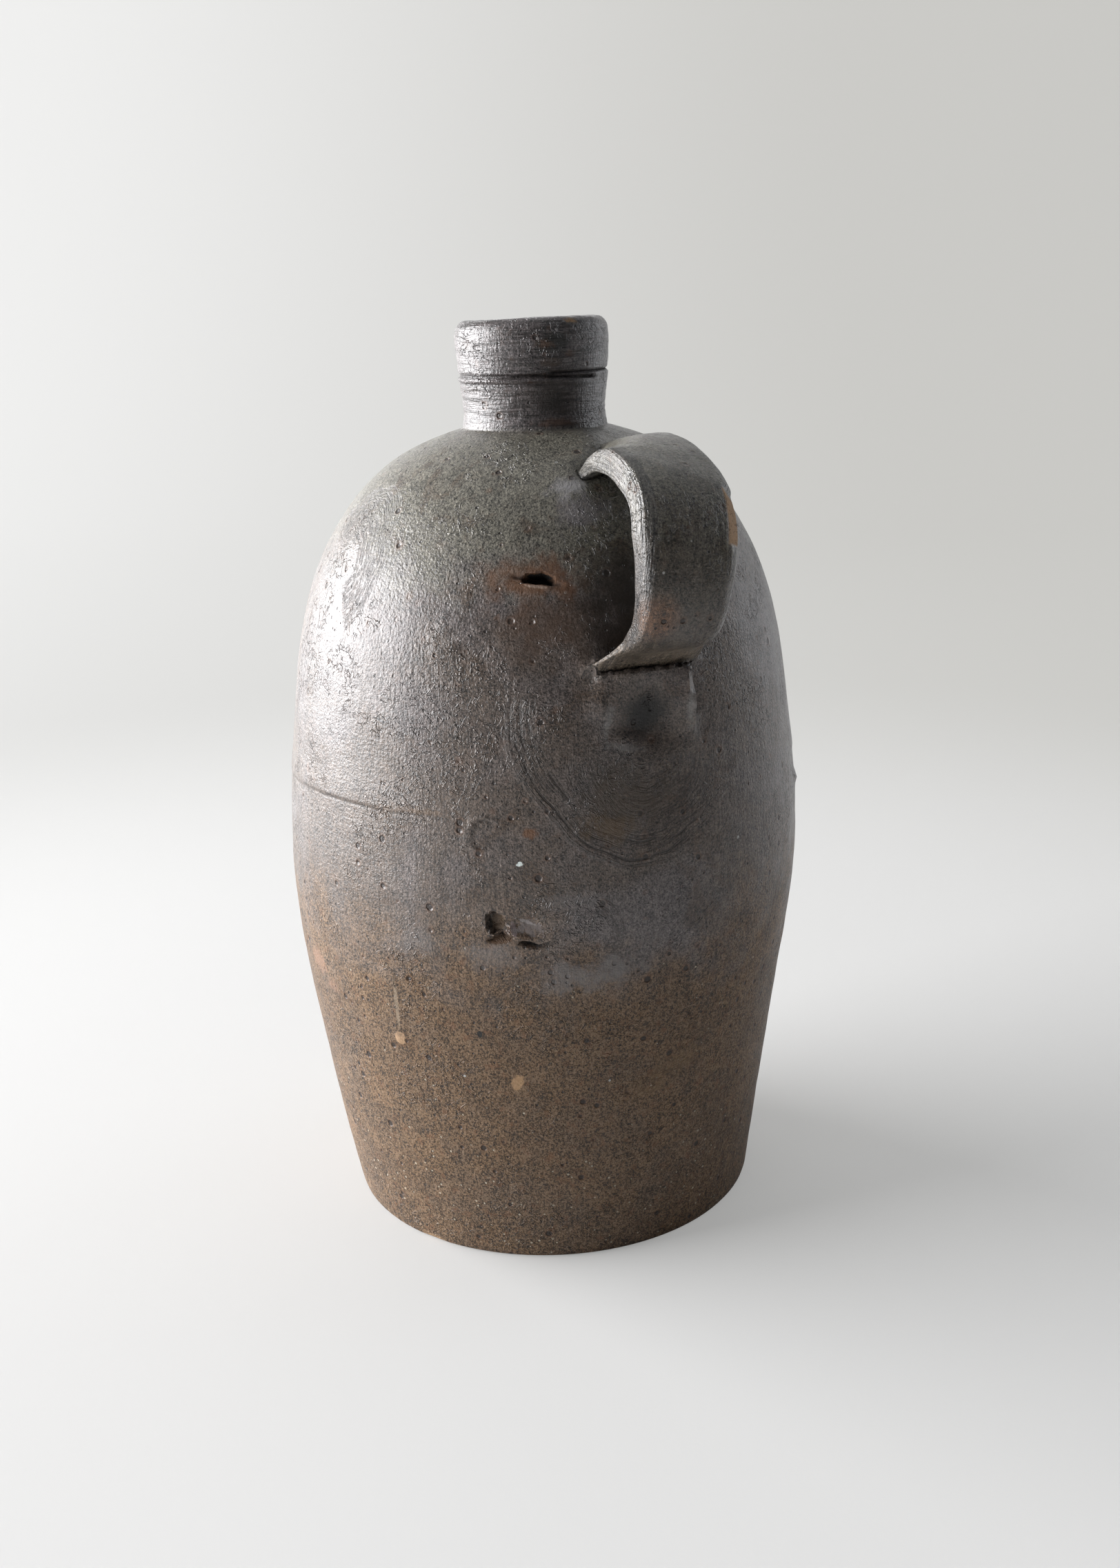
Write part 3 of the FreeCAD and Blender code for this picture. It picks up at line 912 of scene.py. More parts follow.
    def neck(self, relief: Relief) -> None:
        """Spiral groove round the neck, its shallow second turn, and the collar's unevenness.

        Args:
            relief: The clay that they are pressed into.
        """
        points = relief.points
        turn = np.degrees(np.arctan2(points[:, 1], points[:, 0]))
        up = points[:, 2]
        radius = np.hypot(points[:, 0], points[:, 1])
        outside = smooth_step(19.5, 21.0, radius) * smooth_step(259.5, 262.0, up) * smooth_step(292.0, 287.5, up)
        deep = 274.7 - 0.7 * smooth_step(-25.0, 30.0, turn) + 0.08 * ripple(points, 7.0, 44)
        ends = outside * smooth_step(32.5, 31.0, turn) * (turn > -122.0)
        behind = outside * np.maximum(smooth_step(-14.0, -4.0, turn), (turn <= -122.0).astype(float))
        strong = 0.65 + 0.35 * smooth_step(-60.0, -10.0, turn)
        relief.cut(ends * strong * hump(up - deep, 0.50), 1.15, 0.95)
        relief.cut(behind * hump(up - 275.6, 0.42), 0.9, 0.95)
        relief.add(outside * 0.35 * hump(up - 273.4, 0.6) * smooth_step(20.0, -20.0, turn))
        relief.cut(outside * smooth_step(0.0, -30.0, turn) * hump(up - 272.3, 0.40), 0.4, 0.6)
        relief.cut(outside * hump(up - 263.5 - 0.3 * ripple(points, 20.0, 45), 0.45), 0.16, 0.4)
        ringed = np.column_stack([points[:, 0] * 0.2, points[:, 1] * 0.2, up])
        swell = 0.09 * ripple(ringed, 2.6, 41) + 0.12 * ripple(points, 16.0, 42)
        wrinkled = self.neck_wrinkle.local(points, self.profile)
        stretched = points * np.array([1.0, 1.0, 0.35])
        creases = 0.3 * smooth_step(1.1, 0.4, np.hypot(wrinkled[:, 1], wrinkled[:, 2])) * ripple(stretched, 2.6, 43)
        relief.add(outside * (swell + creases))

    def lip_rise(self, points: Array) -> Array:
        """Uneven height of the lip, as a move up or down."""
        turn = np.arctan2(points[:, 1], points[:, 0])
        near = smooth_step(280.0, 291.0, points[:, 2])
        wave = 0.45 * np.cos(turn - math.radians(25.0)) + 0.16 * np.cos(3.0 * turn + 0.8)
        return near * (wave - 0.62 + 0.10 * ripple(points, 6.0, 51))

    def press(self, piece: Piece, strap_share: Array, root: Array,
              foot: Array) -> Array:
        """Presses every mark into the jug.

        Args:
            piece: The joined jug.
            strap_share: How far each vertex belongs to the strap, from 0 to 1.
            root: Distance of each vertex from the root's edge.
            foot: Distance of each vertex from the foot's edge.

        Returns:
            How much painted shade each vertex takes, from 0 to 1.
        """
        points = Clay.points(piece)
        normals = Clay.normals(piece)
        relief = Relief(points, self.wall_share(points) * (1.0 - strap_share))
        relief.add(relief.wall * self.throwing(points))
        for mark in (self.seam, self.gathered, self.damage, self.tongue, self.neck):
            mark(relief)
        self.join(relief, strap_share, root, foot)
        relief.add(strap_share * (0.16 * ripple(points, 17.0, 61) + 0.05 * ripple(points, 5.0, 62)))
        moved = points + normals * relief.height[:, None]
        moved[:, 2] += self.lip_rise(moved)
        Clay.put(piece, moved)
        return relief.dark


@dataclass(frozen=True)
class Chip:
    """A flat break that takes an edge off: everything past the plane is gone.

    Attributes:
        point: A point on the broken face in millimetres.
        normal: Direction in which the clay broke away.
        reach: How far the break runs from the point in millimetres.
    """

    point: tuple[float, float, float]
    normal: tuple[float, float, float]
    reach: float

    def depth(self, points: Array) -> Array:
        """How far each point stands past the broken face."""
        normal = np.array(self.normal) / np.linalg.norm(self.normal)
        away = points - np.array(self.point)
        near = np.linalg.norm(away, axis=1) < self.reach
        return np.where(near, np.clip(away @ normal + 0.12 * ripple(points, 3.0, 71), 0.0, None), 0.0)

    def broken(self, points: Array) -> Array:
        """Points with the chip taken off."""
        normal = np.array(self.normal) / np.linalg.norm(self.normal)
        return points - self.depth(points)[:, None] * normal


class Finish(Enum):
    """How far the glaze has gone matt."""

    SATIN = 0.42
    WORN = 0.56
    BARE = 0.85


class Sheet:
    """Adds nodes to a tree and joins them, with plain numbers or sockets as inputs."""

    def __init__(self, tree: bpy.types.NodeTree) -> None:
        """Takes the tree that nodes are added to."""
        self.tree = tree

    def node(self, kind: str, feeds: dict | None = None, **settings) -> bpy.types.Node:
        """Adds a node.

        Args:
            kind: The node's type.
            feeds: Inputs by name or number, each a value or another node's output.
            settings: Properties of the node.

        Returns:
            The new node.
        """
        made = self.tree.nodes.new(kind)
        for name, value in settings.items():
            setattr(made, name, value)
        for name, value in (feeds or {}).items():
            self.feed(made.inputs[name], value)
        return made

    def feed(self, socket: Socket, value: Feed) -> None:
        """Links an output to an input, or sets the input's own value."""
        if isinstance(value, Socket):
            self.tree.links.new(value, socket)
        else:
            socket.default_value = value

    def placed(self, group: bpy.types.NodeTree, feeds: dict[str, Feed]) -> bpy.types.bpy_prop_collection:
        """Places a shader group.

        Args:
            group: The group's tree.
            feeds: Its inputs by name.

        Returns:
            Its outputs.
        """
        made = self.node("ShaderNodeGroup", node_tree=group)
        for name, value in feeds.items():
            self.feed(made.inputs[name], value)
        return made.outputs

    def maths(self, operation: str, *values: Feed) -> Socket:
        """Adds a sum.

        Args:
            operation: The kind of sum.
            values: What goes into it, in order.

        Returns:
            Its result.
        """
        made = self.node("ShaderNodeMath", operation=operation)
        for socket, value in zip(made.inputs, values):
            self.feed(socket, value)
        return made.outputs[0]

    def times(self, one: Feed, other: Feed) -> Socket:
        """Product of two numbers."""
        return self.maths("MULTIPLY", one, other)

    def plus(self, one: Feed, other: Feed) -> Socket:
        """Sum of two numbers."""
        return self.maths("ADD", one, other)

    def minus(self, one: Feed, other: Feed) -> Socket:
        """One number less the other."""
        return self.maths("SUBTRACT", one, other)

    def blend(self, one: Feed, share: Feed, rest: Feed) -> Socket:
        """One number times a share, and the rest added."""
        return self.maths("MULTIPLY_ADD", one, share, rest)

    def step(self, value: Feed, low: float, high: float, top: float = 1.0) -> Socket:
        """Soft step from 0 at a low value to a top at a high one."""
        made = self.node("ShaderNodeMapRange", {"Value": value, "From Min": low, "From Max": high, "To Max": top},
                         interpolation_type="SMOOTHSTEP")
        return made.outputs["Result"]

    def mix(self, share: Feed, first: Feed, second: Feed, blend: str = "MIX") -> Socket:
        """Mixes two colours.

        Args:
            share: How much of the second there is, from 0 to 1.
            first: One colour.
            second: The other.
            blend: The way of mixing.

        Returns:
            The mixed colour.
        """
        made = self.node("ShaderNodeMix", data_type="RGBA", blend_type=blend)
        for number, value in ((0, share), (6, first), (7, second)):
            self.feed(made.inputs[number], value)
        return made.outputs[2]

    def stretched(self, vector: Socket, scale: tuple[float, float, float]) -> Socket:
        """Coordinates multiplied along each axis."""
        return self.node("ShaderNodeVectorMath", {0: vector, 1: scale}, operation="MULTIPLY").outputs[0]

    def grain(self, vector: Socket, size: float, detail: float, rough: float, bent: float = 0.0) -> Socket:
        """Soft irregular grain.

        Args:
            vector: Coordinates that it lies in.
            size: Size of the grains in millimetres.
            detail: How many finer grains lie on each.
            rough: How strong the finer grains are.
            bent: How far it is bent out of shape.

        Returns:
            Values from 0 to 1.
        """
        made = self.node("ShaderNodeTexNoise", {"Vector": vector, "Scale": 1.0 / (size * MM), "Detail": detail,
                                                "Roughness": rough, "Distortion": bent})
        return made.outputs[0]


def new_group(name: str, takes: dict[str, str], gives: dict[str, str]) -> tuple[Sheet, dict, bpy.types.Node]:
    """Starts a shader group.

    Args:
        name: Name of the group.
        takes: Input names with their kinds, "Float" or "Vector".
        gives: Output names with their kinds.

    Returns:
        The sheet to add nodes to, the inputs by name, and the output node.
    """
    tree = bpy.data.node_groups.new(name, "ShaderNodeTree")
    for label, kind in takes.items():
        tree.interface.new_socket(label, in_out="INPUT", socket_type="NodeSocket" + kind)
    for label, kind in gives.items():
        tree.interface.new_socket(label, in_out="OUTPUT", socket_type="NodeSocket" + kind)
    sheet = Sheet(tree)
    inputs = sheet.node("NodeGroupInput").outputs
    return sheet, {label: inputs[label] for label in takes}, sheet.node("NodeGroupOutput")


def dots_group() -> bpy.types.NodeTree:
    """Scattered dots of mixed sizes, such as pits, iron specks and sand.

    Returns:
        Group with a mask of the dots, soft towards their edges.
    """
    sheet, takes, output = new_group("scattered_dots", {"Vector": "Vector", "Scale": "Float", "Size": "Float",
                                                         "Share": "Float"}, {"Mask": "Float"})
    cells = sheet.node("ShaderNodeTexVoronoi", {"Vector": takes["Vector"], "Scale": takes["Scale"]})
    chance = sheet.node("ShaderNodeSeparateColor", {0: cells.outputs["Color"]}).outputs
    kept = sheet.maths("LESS_THAN", chance[0], takes["Share"])
    size = sheet.times(takes["Size"], sheet.plus(0.35, chance[1]))
    inner = sheet.times(size, 0.55)
    soft = sheet.node("ShaderNodeMapRange", {"Value": cells.outputs["Distance"], "From Min": size, "From Max": inner},
                      interpolation_type="SMOOTHSTEP").outputs["Result"]
    sheet.feed(output.inputs["Mask"], sheet.times(soft, kept))
    return sheet.tree


def patch_group() -> bpy.types.NodeTree:
    """One irregular patch, such as a stain, a blob or a flake, from a place's own coordinates.

    Returns:
        Group with the patch's mask.
    """
    sheet, takes, output = new_group("clay_patch", {"Place": "Vector", "Wobble": "Float", "Ragged": "Float",
                                                     "Soft": "Float"}, {"Mask": "Float"})
    reach = sheet.node("ShaderNodeVectorMath", {0: takes["Place"]}, operation="LENGTH").outputs["Value"]
    uneven = sheet.blend(takes["Wobble"], takes["Ragged"], reach)
    inner = sheet.minus(1.0, takes["Soft"])
    mask = sheet.node("ShaderNodeMapRange", {"Value": uneven, "From Min": 1.0, "From Max": inner},
                      interpolation_type="SMOOTHSTEP").outputs["Result"]
    sheet.feed(output.inputs["Mask"], mask)
    return sheet.tree


def wipe_group() -> bpy.types.NodeTree:
    """Fine curved strokes left by a wet hand or cloth, in a band round a place.

    Returns:
        Group with the strokes and with a thin rim along the band's inner edge.
    """
    sheet, takes, output = new_group("wipe_strokes", {"Place": "Vector", "Inner": "Float", "Outer": "Float",
                                                       "Toward": "Vector", "Spread": "Float", "Fineness": "Float"},
                                     {"Strokes": "Float", "Rim": "Float"})
    place = sheet.stretched(takes["Place"], (0.0, 1.0, 1.0))
    reach = sheet.node("ShaderNodeVectorMath", {0: place}, operation="LENGTH").outputs["Value"]
    drift = sheet.node("ShaderNodeTexNoise", {"Vector": place, "Scale": 1.5, "Detail": 2.0}).outputs[0]
    reach = sheet.blend(sheet.minus(drift, 0.5), 0.22, reach)
    unit = sheet.node("ShaderNodeVectorMath", {0: place}, operation="NORMALIZE").outputs[0]
    facing = sheet.node("ShaderNodeVectorMath", {0: unit, 1: takes["Toward"]}, operation="DOT_PRODUCT").outputs["Value"]
    deep = sheet.node("ShaderNodeSeparateXYZ", {0: takes["Place"]}).outputs["X"]
    near = sheet.maths("LESS_THAN", sheet.maths("ABSOLUTE", deep), 2.6)
    into = sheet.minus(reach, takes["Inner"])
    out_of = sheet.minus(takes["Outer"], reach)
    band = sheet.times(sheet.step(into, -0.02, 0.10), sheet.step(out_of, -0.02, 0.08))
    fan = sheet.step(sheet.minus(facing, takes["Spread"]), -0.05, 0.22)
    band = sheet.times(sheet.times(band, fan), near)
    rings = sheet.times(reach, takes["Fineness"])
    along = sheet.node("ShaderNodeCombineXYZ", {"X": rings, "Y": sheet.times(facing, 5.0)}).outputs[0]
    lines = sheet.node("ShaderNodeTexNoise", {"Vector": along, "Scale": 1.0, "Detail": 4.0, "Roughness": 0.7},
                       noise_dimensions="2D").outputs[0]
    edge = sheet.step(sheet.maths("ABSOLUTE", sheet.minus(into, 0.02)), 0.030, 0.004)
    sheet.feed(output.inputs["Strokes"], sheet.times(sheet.step(lines, 0.42, 0.70), band))
    sheet.feed(output.inputs["Rim"], sheet.times(sheet.times(edge, fan), near))
    return sheet.tree


@dataclass(frozen=True)
class Wipe:
    """A fan of wipe strokes in a band round a place.

    Attributes:
        place: Middle of the band, with the half sizes that the rest is measured in.
        inner: Where the band starts.
        outer: Where the band ends.
        toward: Middle of the fan, in degrees from the level.
        spread: How narrow the fan is, from -1 for all the way round to 1.
        fineness: How many strokes lie across a half size.
        tone: How dark the strokes are.
        rim: How pale the rim is.
    """

    place: Place
    inner: float
    outer: float
    toward: float
    spread: float
    fineness: float
    tone: float
    rim: float


@dataclass(frozen=True)
class StainOrPaintedLight:
    """A coloured patch laid on the glaze: mostly marks in or on it, some painted shade or painted highlights.

    Attributes:
        place: Where it is and how large.
        colour: Its colour.
        strength: How far it covers the glaze, from 0 to 1.
        ragged: How far its edge wanders, in half sizes.
        soft: How much of the half size the edge fades over.
        finish: How matt it is.
    """

    place: Place
    colour: Colour
    strength: float = 0.8
    ragged: float = 0.5
    soft: float = 0.5
    finish: Finish = Finish.WORN


@dataclass(frozen=True)
class Surface:
    """What the glaze reads at a point of the clay.

    Attributes:
        sheet: Where its nodes are added.
        place: Place of the point.
        height: Height of the point.
        strap: How far it belongs to the strap.
        profile: The jug's sizes.
        lean: The slump that moved the clay, and the patches with it.
    """

    sheet: Sheet
    place: Socket
    height: Socket
    strap: Socket
    profile: Profile
    lean: Lean

    def near(self, where: Place) -> Socket:
        """Adds a patch's own coordinates.

        Args:
            where: The patch's place on the wall.

        Returns:
            Coordinates of (out, across, up) in its depth and half sizes.
        """
        shift = float(self.lean.shift(np.array([where.height]))[0])
        centre = where.centre(self.profile) + Vector((self.lean.way[0] * shift, self.lean.way[1] * shift, 0.0))
        return self.sheet.node("ShaderNodeMapping", {
            "Vector": self.place, "Location": centre * MM, "Rotation": where.frame().to_euler(),
            "Scale": (where.DEPTH * MM, where.half_width * MM, where.half_height * MM),
        }, vector_type="TEXTURE").outputs[0]


@dataclass(frozen=True)
class SaltGlaze:
    """Worn salt glaze: silver grey on the shoulder, khaki brown and matter towards the foot."""

    grey: Colour = (0.088, 0.067, 0.053, 1.0)
    lilac: Colour = (0.108, 0.092, 0.088, 1.0)
    olive: Colour = (0.130, 0.122, 0.098, 1.0)
    umber: Colour = (0.056, 0.033, 0.018, 1.0)
    khaki: Colour = (0.138, 0.079, 0.036, 1.0)
    plum: Colour = (0.092, 0.079, 0.078, 1.0)
    rust: Colour = (0.155, 0.068, 0.028, 1.0)
    cloud: Colour = (0.170, 0.157, 0.152, 1.0)
    buff: Colour = (0.36, 0.23, 0.13, 1.0)
    sand: Colour = (0.42, 0.36, 0.27, 1.0)
    # Soot black for dark dots, and also the painted shade in cuts, creases and deep damage.
    soot_and_shade: Colour = (0.006, 0.005, 0.004, 1.0)
    pit: Colour = (0.012, 0.007, 0.005, 1.0)
    # Dark of the wipe strokes, and also painted shade on the wall under the strap.
    stroke_dark_and_shade: Colour = (0.020, 0.013, 0.009, 1.0)
    neck_lines: Colour = (0.030, 0.023, 0.021, 1.0)
    strap_lower: Colour = (0.046, 0.036, 0.024, 1.0)
    # Painted shade for the strap's side faces.
    strap_side_shade: Colour = (0.040, 0.038, 0.042, 1.0)
    # Painted light: paler tint for the strap's foot.
    strap_foot_painted_light: Colour = (0.145, 0.115, 0.085, 1.0)
    pale_grain: Colour = (0.150, 0.116, 0.086, 1.0)
    fleck: Colour = (0.40, 0.40, 0.38, 1.0)
    torn: Colour = (0.06, 0.03, 0.016, 1.0)
    clay: Colour = (0.25, 0.14, 0.085, 1.0)
    ochre: Colour = (0.17, 0.10, 0.042, 1.0)
    # Painted highlight for the tongue's raised edges.
    painted_highlight: Colour = (0.24, 0.23, 0.22, 1.0)
    gloss: float = 0.48
    low_gloss: float = 0.18
    neck_gloss: float = 0.25
    index: float = 1.45
    gloss_index: float = 1.6
    gloss_rough: float = 0.30

    def wipes(self) -> list[Wipe]:
        """Strokes under the handle, on the left shoulder and low on the side.

        Returns:
            The fans, in the order in which they were wiped.
        """
        return [
            Wipe(Place(0.5, 182.0, 37.0, 44.0), 0.78, 1.06, -122.0, 0.35, 34.0, 1.1, 0.0),
            Wipe(Place(0.5, 182.0, 37.0, 44.0), 1.02, 1.06, -150.0, 0.6, 30.0, 0.0, 0.45),
            Wipe(Place(1.0, 170.0, 24.0, 26.0), 0.25, 1.05, -95.0, 0.0, 24.0, 0.8, 0.0),
            Wipe(Place(-80.0, 222.0, 16.0, 18.0), 0.35, 1.25, 45.0, -0.3, 18.0, 0.8, 0.0),
            Wipe(Place(-12.0, 118.0, 9.0, 10.0), 0.55, 1.15, 30.0, 0.1, 9.0, 0.7, 0.3),
            Wipe(Place(-16.0, 84.0, 34.0, 30.0), 0.65, 1.0, 105.0, 0.5, 16.0, 0.5, 0.0),
            Wipe(Place(44.0, 96.0, 12.0, 26.0), 0.8, 1.1, 170.0, 0.3, 8.0, 0.4, 0.5),
        ]

    def stains_and_painted_light(self) -> list[StainOrPaintedLight]:
        """Patches that sit in known places on the jug: marks in the glaze, painted shade and painted highlights.

        Returns:
            The patches, each laid over the ones before it.
        """
        return [
            StainOrPaintedLight(Place(-22.0, 221.0, 21.0, 9.0), self.rust, 0.75, 0.7, 0.9),
            StainOrPaintedLight(Place(-17.0, 218.0, 7.0, 4.5), self.rust, 0.5, 0.7, 0.8),
            StainOrPaintedLight(Place(-24.3, 149.0, 2.8, 2.2), self.rust, 0.8, 0.5, 0.6),
            StainOrPaintedLight(Place(-84.0, 94.0, 7.0, 5.0, 20.0), self.clay, 0.6, 0.9, 0.8),
            StainOrPaintedLight(Place(-76.5, 87.0, 5.0, 3.5), self.clay, 0.55, 0.8, 0.8),
            StainOrPaintedLight(Place(-49.0, 154.3, 16.0, 1.6), (0.17, 0.10, 0.05, 1.0), 0.4, 0.9, 0.9),
            StainOrPaintedLight(Place(-20.0, 207.0, 19.0, 14.0), (0.088, 0.052, 0.033, 1.0), 0.65, 0.6, 0.9, Finish.SATIN),
            # Painted shade on the wall inside the handle's loop and under the strap.
            StainOrPaintedLight(Place(-1.0, 217.0, 19.0, 18.0), (0.014, 0.009, 0.006, 1.0), 0.92, 0.4, 0.8, Finish.SATIN),
            StainOrPaintedLight(Place(-3.0, 204.0, 14.0, 12.0), self.stroke_dark_and_shade, 0.8, 0.5, 0.8, Finish.SATIN),
            # Painted shade in the thumb's dent under the strap's foot.
            StainOrPaintedLight(Place(1.2, 181.6, 10.2, 8.8), (0.004, 0.003, 0.002, 1.0), 0.97, 0.35, 0.75),
            # Painted highlights along the tongue's raised left, lower and right edges.
            StainOrPaintedLight(Place(-7.6, 180.5, 2.0, 8.0, -14.0), self.painted_highlight, 0.5, 0.5, 0.9, Finish.SATIN),
            StainOrPaintedLight(Place(-4.0, 172.2, 8.0, 2.0, -12.0), self.painted_highlight, 0.45, 0.6, 0.9, Finish.SATIN),
            StainOrPaintedLight(Place(10.6, 182.0, 2.0, 8.5, 2.0), (0.26, 0.25, 0.24, 1.0), 0.6, 0.5, 0.9, Finish.SATIN),
            StainOrPaintedLight(Place(-55.3, 90.5, 0.9, 11.5, -2.0), (0.23, 0.175, 0.12, 1.0), 0.7, 0.3, 0.6),
            StainOrPaintedLight(Place(-5.0, 157.0, 19.0, 13.0), (0.062, 0.040, 0.022, 1.0), 0.66, 0.55, 0.8, Finish.SATIN),
            StainOrPaintedLight(Place(-9.0, 150.0, 14.0, 6.0, -8.0), (0.100, 0.058, 0.022, 1.0), 0.7, 0.8, 0.8, Finish.SATIN),
            # Painted highlight where the clay smeared round the strap's root catches the window.
            StainOrPaintedLight(Place(-10.5, 244.5, 9.0, 3.6, 18.0), (0.40, 0.39, 0.40, 1.0), 0.65, 0.7, 0.9, Finish.SATIN),
            StainOrPaintedLight(Place(-8.0, 238.0, 12.0, 6.0, 10.0), (0.26, 0.24, 0.26, 1.0), 0.5, 0.7, 0.9, Finish.SATIN),
            StainOrPaintedLight(Place(8.0, 67.0, 15.0, 6.0, 12.0), self.ochre, 0.55, 1.0, 0.8),
            StainOrPaintedLight(Place(3.0, 60.0, 9.0, 3.0, 12.0), self.ochre, 0.45, 1.0, 0.8),
            StainOrPaintedLight(Place(-12.0, 104.0, 23.0, 8.0, 4.0), self.cloud, 0.75, 0.8, 0.9),
            StainOrPaintedLight(Place(-33.0, 111.0, 11.0, 7.0), self.cloud, 0.5, 0.8, 0.9),
            StainOrPaintedLight(Place(-50.0, 114.0, 15.0, 6.0), self.cloud, 0.35, 0.8, 0.9),
            StainOrPaintedLight(Place(-16.0, 128.0, 15.0, 4.0), self.cloud, 0.35, 0.8, 0.9),
            StainOrPaintedLight(Place(-55.6, 78.6, 2.3, 2.6), self.buff, 0.95, 0.15, 0.25),
            StainOrPaintedLight(Place(-28.2, 67.2, 2.3, 3.3, -20.0), (0.36, 0.22, 0.11, 1.0), 0.9, 0.35, 0.3),
            StainOrPaintedLight(Place(-53.8, 52.0, 3.0, 4.0), (0.19, 0.125, 0.07, 1.0), 0.4, 0.5, 0.8),
            StainOrPaintedLight(Place(-35.9, 84.2, 0.95, 1.45), self.soot_and_shade, 1.0, 0.1, 0.3),
            StainOrPaintedLight(Place(-57.3, 179.6, 2.6, 0.55, -16.0), self.soot_and_shade, 0.95, 0.3, 0.5),
            StainOrPaintedLight(Place(-59.2, 180.4, 0.5, 0.5), self.soot_and_shade, 0.9, 0.2, 0.5),
            StainOrPaintedLight(Place(-60.3, 169.1, 0.45, 1.5, 12.0), self.soot_and_shade, 0.9, 0.2, 0.4),
            StainOrPaintedLight(Place(-26.4, 140.2, 1.15, 0.85, 15.0), (0.62, 0.68, 0.66, 1.0), 1.0, 0.5, 0.3),
            StainOrPaintedLight(Place(-3.5, 283.8, 7.4, 4.0), (0.010, 0.009, 0.006, 1.0), 0.95, 0.5, 0.7),
            StainOrPaintedLight(Place(-5.0, 268.6, 6.6, 7.4), (0.012, 0.009, 0.007, 1.0), 0.9, 0.6, 0.7),
            StainOrPaintedLight(Place(-18.0, 270.0, 10.0, 6.0), (0.045, 0.034, 0.030, 1.0), 0.5, 0.8, 0.8, Finish.SATIN),
            StainOrPaintedLight(Place(-12.0, 284.0, 3.6, 2.0), self.rust, 0.4, 0.6, 0.8),
            StainOrPaintedLight(Place(-8.0, 278.6, 4.5, 2.0), self.umber, 0.6, 0.6, 0.7),
            StainOrPaintedLight(Place(-4.0, 260.8, 9.0, 1.8), (0.10, 0.045, 0.022, 1.0), 0.6, 0.6, 0.8),
            StainOrPaintedLight(Place(-31.2, 121.6, 2.7, 3.1), (0.10, 0.062, 0.034, 1.0), 1.0, 0.2, 0.3, Finish.BARE),
            # Painted shade on the pit's inner side.
            StainOrPaintedLight(Place(-32.9, 121.0, 1.1, 2.6), self.soot_and_shade, 0.7, 0.4, 0.5, Finish.BARE),
            StainOrPaintedLight(Place(-30.4, 116.4, 4.0, 1.5, 8.0), (0.10, 0.055, 0.028, 1.0), 0.95, 0.2, 0.3, Finish.BARE),
            StainOrPaintedLight(Place(-27.9, 119.8, 1.0, 3.4, 12.0), (0.24, 0.19, 0.185, 1.0), 0.9, 0.3, 0.5, Finish.BARE),
            StainOrPaintedLight(Place(-24.9, 120.2, 5.2, 2.8, -10.0), (0.17, 0.145, 0.14, 1.0), 0.75, 0.9, 0.5, Finish.BARE),
            StainOrPaintedLight(Place(-25.6, 122.2, 3.6, 0.6, -22.0), (0.34, 0.31, 0.30, 1.0), 0.8, 0.8, 0.6, Finish.BARE),
            # Painted shade inside the gash.
            StainOrPaintedLight(Place(-23.7, 115.0, 2.6, 0.7, -14.0), self.soot_and_shade, 0.95, 0.2, 0.4, Finish.BARE),
            # Painted shade deep inside the burst slit.
            StainOrPaintedLight(Place(-21.0, 220.8, 3.9, 1.3, -6.0), self.soot_and_shade, 1.0, 0.25, 0.2, Finish.BARE),
            StainOrPaintedLight(Place(-21.4, 218.7, 4.4, 0.5, -7.0), (0.30, 0.22, 0.17, 1.0), 0.8, 0.4, 0.5, Finish.BARE),
        ]

    def build(self, profile: Profile, lean: Lean) -> bpy.types.Material:
        """Mixes the glaze.

        Args:
            profile: The jug's sizes.
            lean: The jug's slump.

        Returns:
            The finished material.
        """
        material = bpy.data.materials.new("salt_glaze")
        material.use_nodes = True
        sheet = Sheet(material.node_tree)
        shader = material.node_tree.nodes["Principled BSDF"]
        place = sheet.node("ShaderNodeTexCoord").outputs["Object"]
        height = sheet.node("ShaderNodeSeparateXYZ", {0: place}).outputs["Z"]
        bare = sheet.node("ShaderNodeAttribute", attribute_name="broken").outputs["Fac"]
        strap = sheet.node("ShaderNodeAttribute", attribute_name="strap").outputs["Fac"]
        surface = Surface(sheet, place, height, strap, profile, lean)
        colour, low = self._ground(surface)
        colour, streaks = self._speckle(surface, low, colour)
        colour, pits = self._specks(surface, low, colour)
        rough = sheet.blend(low, Finish.WORN.value - Finish.SATIN.value, Finish.SATIN.value)
        rough = sheet.plus(rough, sheet.step(sheet.grain(place, 3.0, 3.0, 0.6), 0.2, 0.8, 0.14))
        colour, rough, strokes = self._wiped(surface, colour, rough)
        colour, rough = self._overlaid(surface, colour, rough)
